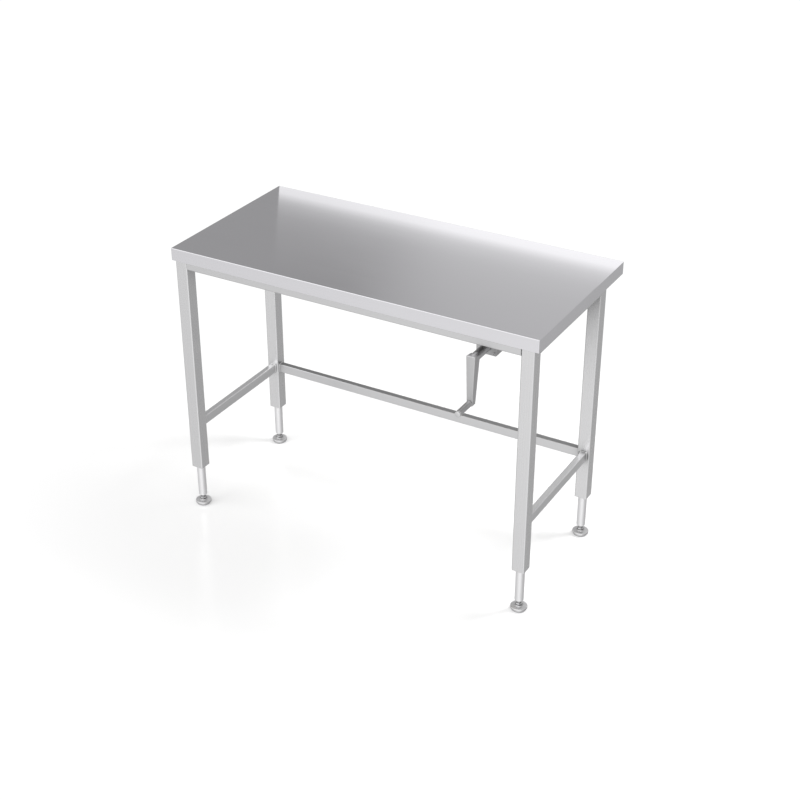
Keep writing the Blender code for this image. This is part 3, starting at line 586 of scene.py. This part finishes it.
def inner_leg(name):
    """The round inner leg: a drawn tube with a threaded plug below and the ram's seat on top."""
    low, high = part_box(f"inner_leg_{name}")
    radius = (high.x - low.x) / 2
    top = high.z - low.z
    bore = radius - LEG_WALL
    ram_low, ram_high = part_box(f"lift_ram_{name}")
    ram = (ram_high.x - ram_low.x) / 2 + GAP
    profile = soften([
        (0, top - RAM_SEAT), (ram, top - RAM_SEAT), (ram, top), (radius, top), (radius, 0),
        (STEM_BORE, 0), (STEM_BORE, LEG_PLUG), (bore, LEG_PLUG),
        (bore, top - RAM_SEAT_PLATE), (0, top - RAM_SEAT_PLATE),
    ], LEG_ROUNDING)
    place = (*middle_of(f"inner_leg_{name}").xy, low.z)
    new_piece(
        f"drawn_leg_{name}", turned(profile, 96), DRAWN_STEEL, f"leg_{name}",
        place, replaced=f"inner_leg_{name}",
    )


def foot(name):
    """The turned disc with its hub, the pad under it, and the threaded stem with its nut."""
    x, y = middle_of(f"foot_disc_{name}").xy
    disc(name, x, y)
    pad(name, x, y)
    stem(name, x, y)


def disc(name, x, y):
    """The foot's disc, with painted shade on its rim and hub, which take a darker steel."""
    low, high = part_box(f"foot_disc_{name}")
    pad_low, pad_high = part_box(f"foot_pad_{name}")
    rim = (high.x - low.x) / 2
    recess = (pad_high.x - pad_low.x) / 2 + GAP
    recess_top = pad_high.z + GAP
    socket_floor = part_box(f"foot_stem_{name}")[0].z - GAP
    profile = soften([
        (0, socket_floor), (STEM_BORE, socket_floor), (STEM_BORE, high.z), (FOOT_HUB, high.z),
        (FOOT_HUB, FOOT_SHOULDER), (rim, FOOT_RIM_TOP), (rim, low.z), (recess, low.z),
        (recess, recess_top), (0, recess_top),
    ], FOOT_ROUNDING)
    piece = new_piece(
        f"turned_foot_{name}", turned(profile, 96), CAST_STEEL, f"foot_{name}",
        (x, y, 0), replaced=f"foot_disc_{name}",
    )
    # Painted shade: the rim and the hub take the darker steel
    piece.data.materials.append(PAINTED_SHADE_RIM_STEEL)
    for face in piece.data.polygons:
        reach = (face.center.xy - Vector((x, y))).length
        on_rim = abs(face.normal.z) < 0.6 and reach > rim * 0.9
        on_hub = reach < FOOT_HUB * 1.05 and face.center.z > FOOT_SHOULDER
        if on_rim or on_hub:
            face.material_index = 1


def pad(name, x, y):
    """The rubber pad with ring grooves in its underside."""
    low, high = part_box(f"foot_pad_{name}")
    radius = (high.x - low.x) / 2
    grooves = []
    for groove in range(GROOVES):
        start = GROOVE_START + groove * GROOVE_STEP
        grooves += [(start + step, depth) for step, depth in GROOVE_SHAPE]
    profile = [(0, high.z), (radius - PAD_BEVEL, high.z), (radius, high.z - PAD_BEVEL)]
    profile += [(radius - inward, height) for inward, height in PAD_LOWER_EDGE]
    profile += grooves[::-1] + [(0, 0)]
    new_piece(
        f"ribbed_pad_{name}", turned(profile, 96), PAD_RUBBER, f"foot_{name}",
        (x, y, 0), replaced=f"foot_pad_{name}",
    )


def stem(name, x, y):
    """The levelling screw: a plain end in the socket, a hexagon nut, and a thread above it."""
    low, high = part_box(f"foot_stem_{name}")
    bm = bmesh.new()
    root = STEM_RADIUS - THREAD_DEPTH
    plain = STEM_RADIUS - PLAIN_INSET
    end_inset, end_height = THREAD_END
    rings = [[bm.verts.new((0, 0, low.z))]]

    def ring(height, radius_at):
        rings.append(ring_of(bm, height, radius_at, STEM_COLUMNS))

    ring(low.z, lambda angle: plain - STEM_BEVEL)
    ring(low.z + STEM_BEVEL, lambda angle: plain)
    ring(NUT_TOP - PLAIN_END_IN_NUT, lambda angle: plain)
    rows = int((high.z - NUT_TOP) / THREAD_PITCH * THREAD_ROWS)
    for row in range(rows + 1):
        height = NUT_TOP + (high.z - end_height - NUT_TOP) * row / rows
        runout = min(1.0, (rows - row) / THREAD_ROWS, row / THREAD_ROWS)

        def thread(angle):
            phase = (height / THREAD_PITCH - angle / (2 * math.pi)) % 1.0
            ridge = min(1.0, max(0.0, THREAD_PEAK - abs(phase - 0.5) * THREAD_FLANK))
            return root + (STEM_RADIUS - root) * ridge * runout

        ring(height, thread)
    ring(high.z, lambda angle: root - end_inset)
    rings.append([bm.verts.new((0, 0, high.z))])
    join_rings(bm, rings)
    nut = nut_mesh(NUT_ACROSS, STEM_RADIUS - NUT_BITE, NUT_TOP - NUT_BOTTOM)
    shift(nut, (0, 0, NUT_BOTTOM))
    copy_into(bm, nut)
    new_piece(
        f"threaded_stem_{name}", bm, TURNED_STEEL, f"stem_{name}",
        (x, y, 0), replaced=f"foot_stem_{name}", sharp=28,
    )


def nut_mesh(across, bore, height):
    """A hexagon nut from z = 0 with both ends chamfered."""
    corner = across / math.sqrt(3)
    face = across / 2 * NUT_FACE_SHARE
    rise = (corner - face) * math.tan(math.radians(30))
    chamfer = [(face + (corner - face) * t, rise * t) for t in (0.25, 0.5, 0.75, 1.0)]
    profile = [(bore, 0), (face, 0)] + chamfer
    profile += [(radius, height - fall) for radius, fall in reversed(chamfer)]
    profile += [(face, height), (bore, height)]
    return turned(profile, NUT_COLUMNS, closed=True, reach=hexagon(across))


# Welds

def bead(bm, path, closed):
    """A rippled fillet along a path of (point, out along the leg's face, away from that face)."""
    rings = []
    last = len(path) - 1
    for index, (point, outward, away) in enumerate(path):
        ends = 1.0 if closed else min(1.0, 0.25 + 0.75 * min(index, last - index) / 2)
        size = WELD * ends * (1 + RIPPLE_HEIGHT * math.cos(math.pi * index))
        section = [-outward * WELD_ROOT - away * WELD_ROOT, outward * size - away * WELD_ROOT]
        section += [outward * size * near + away * size * far for near, far in FILLET]
        section.append(away * size - outward * WELD_ROOT)
        rings.append([bm.verts.new(point + step) for step in section])
    join_rings(bm, rings, closed)
    if not closed:
        bm.faces.new(rings[0])
        bm.faces.new(rings[-1])


def rail_layout(node, along):
    """A rail's side direction, half its width, and each end's centre with the way back from it."""
    low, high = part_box(node)
    axis = AXES[along]
    side = AXES["y" if along == "x" else "x"]
    half = (high - low) / 2
    reach = half.dot(axis) + GAP
    ends = [((low + high) / 2 + axis * end * reach, -axis * end) for end in (-1, 1)]
    return side, half.dot(side), ends


def rail_welds(name, node, along):
    """A bead round each end of a rail where it meets a leg."""
    low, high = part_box(node)
    up = AXES["z"]
    half_up = (high.z - low.z) / 2 - WELD_CORNER
    side, half_side, ends = rail_layout(node, along)
    half_side -= WELD_CORNER
    bm = bmesh.new()
    for centre, away in ends:
        corners = ((1, 1), (-1, 1), (-1, -1), (1, -1))
        hubs = [centre + side * u * half_side + up * v * half_up for u, v in corners]
        path = []
        for turn, hub in enumerate(hubs):
            for step in range(4):
                angle = math.radians(turn * 90 + step * 30)
                outward = side * math.cos(angle) + up * math.sin(angle)
                start = hub + outward * WELD_CORNER
                path.append((start, outward, away))
            run = hubs[(turn + 1) % 4] - hub
            steps = max(2, int(run.length / RIPPLE))
            path += [(start + run * step / steps, outward, away) for step in range(1, steps)]
        bead(bm, path, True)
    new_piece(name, bm, WELD_STEEL, "frame", sharp=60)


def corner_welds(name, node, along):
    """A bead under each end of a top rail, where its lower face meets a leg."""
    side, half_side, ends = rail_layout(node, along)
    half_side -= WELD_CORNER
    steps = int(2 * half_side / RIPPLE)
    bm = bmesh.new()
    for centre, away in ends:
        centre.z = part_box(node)[0].z
        path = []
        for step in range(steps + 1):
            point = centre + side * half_side * (2 * step / steps - 1)
            path.append((point, -AXES["z"], away))
        bead(bm, path, False)
    new_piece(name, bm, WELD_STEEL, "frame", sharp=60)


# Crank

def loose(bm, name):
    """An object that only serves to join or cut."""
    return link(bpy.data.objects.new(name, mesh_of(bm, name)))


def combined(base, steps):
    """The bmesh of a loose object after joins and cuts. The loose objects are removed."""
    for operation, other in steps:
        step = base.modifiers.new(operation, "BOOLEAN")
        step.operation = operation
        step.solver = "EXACT"
        step.object = other
    bpy.context.view_layer.update()
    bm = bmesh.new()
    bm.from_object(base, bpy.context.evaluated_depsgraph_get())
    bmesh.ops.remove_doubles(bm, verts=bm.verts, dist=JOIN_DISTANCE)
    bmesh.ops.dissolve_degenerate(bm, edges=bm.edges, dist=JOIN_DISTANCE)
    for item in [base] + [other for _, other in steps]:
        mesh = item.data
        bpy.data.objects.remove(item)
        bpy.data.meshes.remove(mesh)
    return bm


def along_y(bm, drop=0.0):
    """A bmesh turned about z, laid along y and lowered."""
    bmesh.ops.rotate(bm, verts=bm.verts, matrix=Matrix.Rotation(-math.pi / 2, 3, "X"))
    shift(bm, (0, 0, -drop))
    return bm


def arm_blank():
    """The arm as a tapered bar with rounded edges, without its hub and holes."""
    bm = bmesh.new()
    bmesh.ops.create_cube(bm, size=1.0)
    for vertex in bm.verts:
        at_hub = vertex.co.z > 0
        at_back = vertex.co.y > 0
        width, depth = ARM_AT_HUB if at_hub else ARM_AT_GRIP
        top = width / 2 - (ARM_FALL if at_back else 0.0)
        end = top if at_hub else -THROW - width / 2
        vertex.co = (vertex.co.x * width, depth if at_back else 0.0, end)
    bmesh.ops.bevel(bm, geom=list(bm.edges), offset=ARM_EDGE, segments=7, profile=0.5, affect="EDGES")
    return loose(bm, "arm_blank")


def arm_cut(name, start, end, radius, columns, drop=0.0):
    """A round cut along y."""
    profile = [(0, start), (radius, start), (radius, end), (0, end)]
    return loose(along_y(turned(profile, columns), drop), name)


def cast_arm():
    """The crank's arm and hub in one casting, bored for the shaft and for the grip's pin."""
    low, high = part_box("crank_arm")
    length = high.y - low.y
    x = middle_of("crank_arm").x
    axis_z = middle_of("crank_spindle").z
    blank = arm_blank()
    profile = [(0, HUB_START), (HUB_RADIUS, HUB_START), (HUB_RADIUS, length), (0, length)]
    hub = loose(along_y(turned(soften(profile, HUB_ROUNDING), 96)), "arm_hub")
    bore = arm_cut("arm_bore", length - BORE_DEPTH, length + CUT_PAST_FACE, SHAFT_RADIUS + GAP, 72)
    hole = arm_cut("arm_pin_hole", -CUT_PAST_FACE, ARM_AT_HUB[1], PIN_RADIUS + GAP, 64, THROW)
    bm = combined(blank, [("UNION", hub), ("DIFFERENCE", bore), ("DIFFERENCE", hole)])
    new_piece(
        "cast_arm", bm, CRANK_METAL, "crank", (x, low.y, axis_z),
        replaced="crank_arm", sharp=40,
    )
    spot = (x, high.y - HUB_SCREW_FROM_END, axis_z - HUB_RADIUS + HUB_SCREW_SUNK)
    place_screw("hub_screw", HUB_SCREW, spot, "z", "crank")


def node_along_y(node):
    """A turned node's length along y, its radius, and the middle of its front end."""
    low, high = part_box(node)
    x, _, z = middle_of(node)
    return high.y - low.y, (high.x - low.x) / 2, (x, low.y, z)


def crank_pieces():
    """The grip, its pin and the spindle's bush, as fine turned pieces."""
    length, radius, place = node_along_y("crank_grip")
    profile = [(GRIP_BORE, 0), (radius, 0), (radius, length), (GRIP_BORE, length)]
    bm = turned(soften(profile, GRIP_ROUNDING, 5, closed=True), 80, closed=True)
    new_piece("turned_grip", bm, CRANK_METAL, "grip", place, "y", "crank_grip")
    length, radius, place = node_along_y("grip_pin")
    profile = [
        (0, 0), (radius, 0), (radius, PIN_HEAD), (PIN_RADIUS, PIN_HEAD),
        (PIN_RADIUS, length), (0, length),
    ]
    bm = turned(soften(profile, PIN_ROUNDING), 64)
    new_piece("grip_screw", bm, CHROME, "crank", place, "y", "grip_pin")
    length, radius, place = node_along_y("crank_bush")
    profile = [
        (BUSH_BORE, 0), (radius, 0), (radius, BUSH_FLANGE), (BUSH_RADIUS, BUSH_FLANGE),
        (BUSH_RADIUS, length), (BUSH_BORE, length),
    ]
    bm = turned(soften(profile, BUSH_ROUNDING, closed=True), 72, closed=True)
    new_piece("turned_bush", bm, DULL_STEEL, "frame", place, "y", "crank_bush")


# Pump

def screw_mesh(diameter, height, socket):
    """A cap screw's head from z = 0 with a hexagon socket in its end."""
    radius = diameter / 2
    mouth = socket * SCREW_SOCKET_MOUTH
    profile = [(0, 0), (radius, 0), (radius, height), (mouth, height)]
    bm = turned(soften(profile, SCREW_ROUNDING), SCREW_COLUMNS)
    edge = [v for v in bm.verts if abs(v.co.z - height) < TIP and abs(v.co.xy.length - mouth) < TIP]
    rings = [edge]
    for depth in (0.0, height * SCREW_SOCKET_DEPTH):
        rings.append(ring_of(bm, height - depth, hexagon(socket), SCREW_COLUMNS))
    rings.append([bm.verts.new((0, 0, height - height * SCREW_SOCKET_TIP))])
    join_rings(bm, rings)
    return bm


def place_screw(name, size, place, axis, body="frame"):
    """A cap screw whose head stands out of a face, against the axis."""
    bm = screw_mesh(*size)
    flip(bm)
    new_piece(name, bm, TURNED_STEEL, body, place, axis)


def pump_pieces():
    """Screws in the pump's front plate and in the hangers, and a fitting on each hose."""
    low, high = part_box("pump_front_plate")
    for side, x in (("left", low.x + PLATE_SCREW_INSET), ("right", high.x - PLATE_SCREW_INSET)):
        for level, z in (("low", low.z + PLATE_SCREW_INSET), ("high", high.z - PLATE_SCREW_INSET)):
            place_screw(f"plate_screw_{side}_{level}", PLATE_SCREW, (x, low.y, z), "y")
    for end in ("front", "rear"):
        low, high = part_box(f"pump_hanger_{end}")
        for side in ("left", "right"):
            place = (middle_of(f"pump_bearer_{side}").x, (low.y + high.y) / 2, low.z)
            place_screw(f"hanger_screw_{end}_{side}", HANGER_SCREW, place, "z")
    for name in LEG_NAMES:
        hose_fitting(name)


def hose_fitting(name):
    """The nut and the sleeve where a hose leaves the pump."""
    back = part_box("pump_cylinder_block")[1].y
    centre = middle_of("pump_cylinder_block")
    x = centre.x + (PLUNGER_X if "right" in name else -PLUNGER_X)
    z = centre.z + (PLUNGER_Z if "front" in name else -PLUNGER_Z)
    across, thickness = FITTING_NUT
    wide, narrow, end = FITTING_SLEEVE
    bm = nut_mesh(across, FITTING_BORE, thickness)
    profile = [(FITTING_BORE, thickness), (wide, thickness), (narrow, end), (FITTING_BORE, end)]
    copy_into(bm, turned(soften(profile, SLEEVE_ROUNDING, closed=True), 48, closed=True))
    new_piece(f"hose_fitting_{name}", bm, TURNED_STEEL, "frame", (x, back, z), "y")


# Hose clips

def clip_mesh():
    """A strap under a hose along y, with a foot and a screw on each side. The board is at z = 0."""
    loop = HOSE_RADIUS + GAP + CLIP_THICKNESS / 2
    level = -CLIP_THICKNESS / 2 - GAP
    half = [
        (CLIP_REACH, level), (loop + CLIP_BEND, level),
        (loop + CLIP_BEND_MIDDLE, level - CLIP_BEND_MIDDLE),
        (loop, level - CLIP_BEND), (loop, -HOSE_DROP),
    ]
    arc = [math.radians(-180 + 15 * step) for step in range(1, 12)]
    line = [(-u, z) for u, z in half]
    line += [(loop * math.cos(angle), -HOSE_DROP + loop * math.sin(angle)) for angle in arc]
    line += half[::-1]
    points = [Vector(point) for point in line]
    last = len(points) - 1
    bm = bmesh.new()
    rings = []
    for index, point in enumerate(points):
        ahead = (points[min(index + 1, last)] - points[max(index - 1, 0)]).normalized()
        side = Vector((-ahead.y, ahead.x)) * CLIP_THICKNESS / 2
        corners = ((point + side, -1), (point + side, 1), (point - side, 1), (point - side, -1))
        rings.append([bm.verts.new((spot.x, end * CLIP_WIDTH / 2, spot.y)) for spot, end in corners])
    join_rings(bm, rings)
    bm.faces.new(rings[0])
    bm.faces.new(rings[-1])
    for side in (-1, 1):
        head = turned(soften(CLIP_SCREW, CLIP_SCREW_ROUNDING), 32)
        flip(head)
        shift(head, (side * (CLIP_REACH - CLIP_SCREW_INSET), 0, level - CLIP_THICKNESS / 2))
        copy_into(bm, head)
    return bm


def add_clip(bm, place, along_x):
    """A clip at a place, turned for a hose that runs along x where along_x is true."""
    clip = clip_mesh()
    if along_x:
        bmesh.ops.rotate(clip, verts=clip.verts, matrix=Matrix.Rotation(math.pi / 2, 3, "Z"))
    shift(clip, place)
    copy_into(bm, clip)


def hose_clips():
    """Clips that hold each hose up under the board."""
    board_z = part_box("backing_board")[0].z
    rear_lane = middle_of("outer_leg_rear_left").y - HOSE_LANE
    front_lane = rear_lane - HOSE_LANE_STEP
    edge_x = middle_of("outer_leg_front_right").x - HOSE_FROM_LEG
    for name, across in CLIPS_ALONG_X.items():
        bm = bmesh.new()
        for x in across:
            add_clip(bm, (x, rear_lane if "rear" in name else front_lane, board_z), True)
        for y in CLIPS_ALONG_Y if "front" in name else ():
            add_clip(bm, (edge_x if "right" in name else -edge_x, y, board_z), False)
        new_piece(f"hose_clips_{name}", bm, DULL_STEEL, "frame")


def build_pieces():
    """Every fine piece."""
    for name in LEG_NAMES:
        inner_leg(name)
        foot(name)
    for end in ("left", "right"):
        rail_welds(f"weld_lower_{end}", f"lower_rail_{end}", "y")
        corner_welds(f"weld_top_{end}", f"top_rail_{end}", "y")
    rail_welds("weld_lower_rear", "lower_rail_rear", "x")
    for end in ("front", "rear"):
        corner_welds(f"weld_top_{end}", f"top_rail_{end}", "x")
    cast_arm()
    crank_pieces()
    pump_pieces()
    hose_clips()


# Light, floor and surroundings

WHITE_TO_CAMERA = 1.35
SURROUNDINGS = 0.82

# Soft patches of the surroundings: towards where, from and to which dot product they build up,
# and how much lighter they are
PATCHES = (
    ((0.45, 0.80, -0.45), 0.35, 0.92, -0.16),
    ((-0.40, 0.80, 0.45), 0.45, 0.93, -0.30),
    ((0.62, -0.62, -0.40), 0.72, 0.97, 0.12),
)

# The top reflects the dark left side of the studio behind it as a triangle with a sharp edge:
# from and to which X / Y the studio gets lighter, and how much
DARK_SIDE = (-0.68, -0.50, 0.26)

# A softer diagonal step beside it, along X / Z - SEAM_LEAN * Z: darker, and then lighter again
SEAM_LEAN = 1.35
SEAM_STEPS = ((-1.79, -1.69, -0.105), (-1.675, -1.635, 0.085), (-1.57, -1.37, 0.020))


def studio_world():
    """White to the camera, and soft grey gradients for what the metal reflects."""
    world = bpy.data.worlds.new("studio")
    bpy.context.scene.world = world
    world.use_nodes = True
    graph = Graph(world.node_tree)
    ray = graph.add("ShaderNodeTexCoord").outputs["Generated"]
    axes = graph.parts(ray)

    # In front of the table: lighter to the right and upward, and lighter again high up
    ahead = graph.ease(axes["Y"], -0.30, -0.62, 0.0, 1.0)
    rightward = graph.math("MULTIPLY", graph.math("ADD", axes["X"], 0.47), 0.95)
    upward = graph.math("ADD", axes["Z"], 0.47)
    slope = graph.math("ADD", 0.34, graph.math("ADD", rightward, upward))
    slope = graph.math("MINIMUM", graph.math("MAXIMUM", slope, 0.1), 0.6)
    front = graph.ease(axes["Y"], -0.10, -0.35, 0.0, 1.0)
    high = graph.ease(axes["Z"], 0.10, 0.35, 0.0, 1.0)
    parts = [SURROUNDINGS, graph.math("MULTIPLY", ahead, slope)]
    for way, start, end, change in PATCHES:
        parts.append(graph.ease(graph.dot(ray, way), start, end, 0.0, change))
    parts.append(graph.math("MULTIPLY", front, high))

    # Behind the table and above it, for the top's reflection
    slant = graph.math("DIVIDE", axes["X"], graph.math("MAXIMUM", axes["Y"], 0.05))
    steepness = graph.math("DIVIDE", axes["X"], graph.math("MAXIMUM", axes["Z"], 0.05))
    seam = graph.math("SUBTRACT", steepness, graph.math("MULTIPLY", axes["Z"], SEAM_LEAN))
    steps = []
    for value, (start, end, change) in [(slant, DARK_SIDE)] + [(seam, step) for step in SEAM_STEPS]:
        steps.append(graph.ease(value, start, end, 0.0, change))
    behind = graph.ease(axes["Y"], 0.45, 0.65, 0.0, 1.0)
    above = graph.ease(axes["Z"], 0.05, 0.20, 0.0, 1.0)
    parts.append(graph.math("MULTIPLY", graph.total(*steps), graph.math("MULTIPLY", behind, above)))

    camera_ray = graph.add("ShaderNodeLightPath").outputs["Is Camera Ray"]
    seen = graph.add("ShaderNodeMix", data_type="FLOAT")
    for index, value in ((0, camera_ray), (2, graph.total(*parts)), (3, WHITE_TO_CAMERA)):
        graph.feed(seen.inputs[index], value)
    background = graph.add("ShaderNodeBackground", {"Strength": seen.outputs[0]})
    output = graph.add("ShaderNodeOutputWorld")
    graph.tree.links.new(background.outputs[0], output.inputs["Surface"])


FLOOR_HALF = 30.0
FLOOR_CEILING = 0.5
FLOOR_GAP = 0.0002
FLOOR_GREY = 0.66
FLOOR_ROUGHNESS = 0.18
FLOOR_GLOW = 0.22
FAR_GLOW = 1.05
FADE_START = 0.75
FADE_END = 1.7


def floor():
    """A plain white floor with faint shadows and reflections. It lies under the lowest foot."""
    bm = bmesh.new()
    bmesh.ops.create_grid(bm, x_segments=1, y_segments=1, size=FLOOR_HALF)
    mesh = bpy.data.meshes.new("floor")
    bm.to_mesh(mesh)
    bm.free()
    plane = link(bpy.data.objects.new("floor", mesh))
    plane.location.z = FLOOR_CEILING
    for name in LEG_NAMES:
        under = plane.constraints.new("FLOOR")
        under.target = frame["bodies"][f"foot_{name}"]
        under.floor_location = "FLOOR_NEGATIVE_Z"
        under.offset = -FLOOR_GAP
    plane.visible_glossy = False
    plane.visible_shadow = False
    material, graph = new_material("floor")
    matt = graph.add(
        "ShaderNodeBsdfPrincipled", {"Base Color": grey(FLOOR_GREY), "Roughness": FLOOR_ROUGHNESS}
    )
    near = graph.add("ShaderNodeAddShader", {0: graph.glow(FLOOR_GLOW), 1: matt.outputs[0]})
    distance = graph.add("ShaderNodeVectorMath", {0: graph.place()}, operation="LENGTH").outputs["Value"]
    fade = graph.ease(distance, FADE_START, FADE_END, 0.0, 1.0)
    whole = graph.add("ShaderNodeMixShader", {0: fade, 1: near.outputs[0], 2: graph.glow(FAR_GLOW)})
    graph.close(whole.outputs[0])
    mesh.materials.append(material)


# The card's brightness at heights above the top, in metres
CARD_STOPS = (
    (0.000, 0.90), (0.025, 0.85), (0.040, 0.58), (0.050, 0.42), (0.060, 0.31), (0.0725, 0.24),
    (0.093, 0.16), (0.113, 0.11), (0.142, 0.08), (0.180, 0.05), (0.225, 0.03), (0.320, 0.0),
)
CARD_STRENGTH = 0.78
CARD_BEHIND = 0.002
CARD_PAST_RIGHT = 0.10
CARD_LEAN_LEFT = 0.040


def light_card():
    """A glowing card behind the rear edge that only the polished metal sees."""
    low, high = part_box("table_top")
    y = high.y + CARD_BEHIND
    height = CARD_STOPS[-1][0]
    corners = (
        (low.x, y, high.z),
        (high.x + CARD_PAST_RIGHT, y, high.z),
        (high.x + CARD_PAST_RIGHT, y, high.z + height),
        (low.x - CARD_LEAN_LEFT, y, high.z + height),
    )
    mesh = bpy.data.meshes.new("light_card")
    mesh.from_pydata(corners, [], [(0, 1, 2, 3)])
    card = link(bpy.data.objects.new("light_card", mesh))
    card.parent = frame["bodies"]["frame"]
    card.matrix_parent_inverse = frame["bodies"]["frame"].matrix_world.inverted()
    card.visible_camera = False
    card.visible_diffuse = False
    card.visible_shadow = False
    material, graph = new_material("light_card")
    z = graph.parts(graph.place())["Z"]
    rise = graph.math("DIVIDE", graph.math("SUBTRACT", z, high.z), height)
    ramp = graph.add("ShaderNodeValToRGB", {"Fac": rise})
    stops = ramp.color_ramp.elements
    while len(stops) > 1:
        stops.remove(stops[-1])
    for index, (level, value) in enumerate(CARD_STOPS):
        stop = stops[0] if index == 0 else stops.new(level / height)
        stop.position = level / height
        stop.color = grey(value)
    glow = graph.glow(CARD_STRENGTH, ramp.outputs["Color"])
    clear = graph.add("ShaderNodeBsdfTransparent").outputs[0]
    both = graph.add("ShaderNodeAddShader", {0: glow, 1: clear})
    graph.close(both.outputs[0])
    mesh.materials.append(material)


# Each light's name, place, size and power
LIGHTS = (
    ("key_light", (2.2, 1.6, 3.4), 1.2, 110.0),
    ("fill_light", (-2.4, -2.2, 3.0), 2.6, 40.0),
)
LIGHT_TARGET = (0.0, 0.0, 0.3)


def soft_light(name, place, size, power):
    """A square area light that faces the table."""
    data = bpy.data.lights.new(name, "AREA")
    data.size = size
    data.energy = power
    light = link(bpy.data.objects.new(name, data))
    light.location = place
    light.rotation_mode = "QUATERNION"
    light.rotation_quaternion = (Vector(LIGHT_TARGET) - Vector(place)).to_track_quat("-Z", "Y")
    light.visible_glossy = False
    light.visible_camera = False


make_camera()
dress_nodes()
build_pieces()
studio_world()
floor()
light_card()
for row in LIGHTS:
    soft_light(*row)
bpy.context.scene.view_settings.view_transform = "Standard"
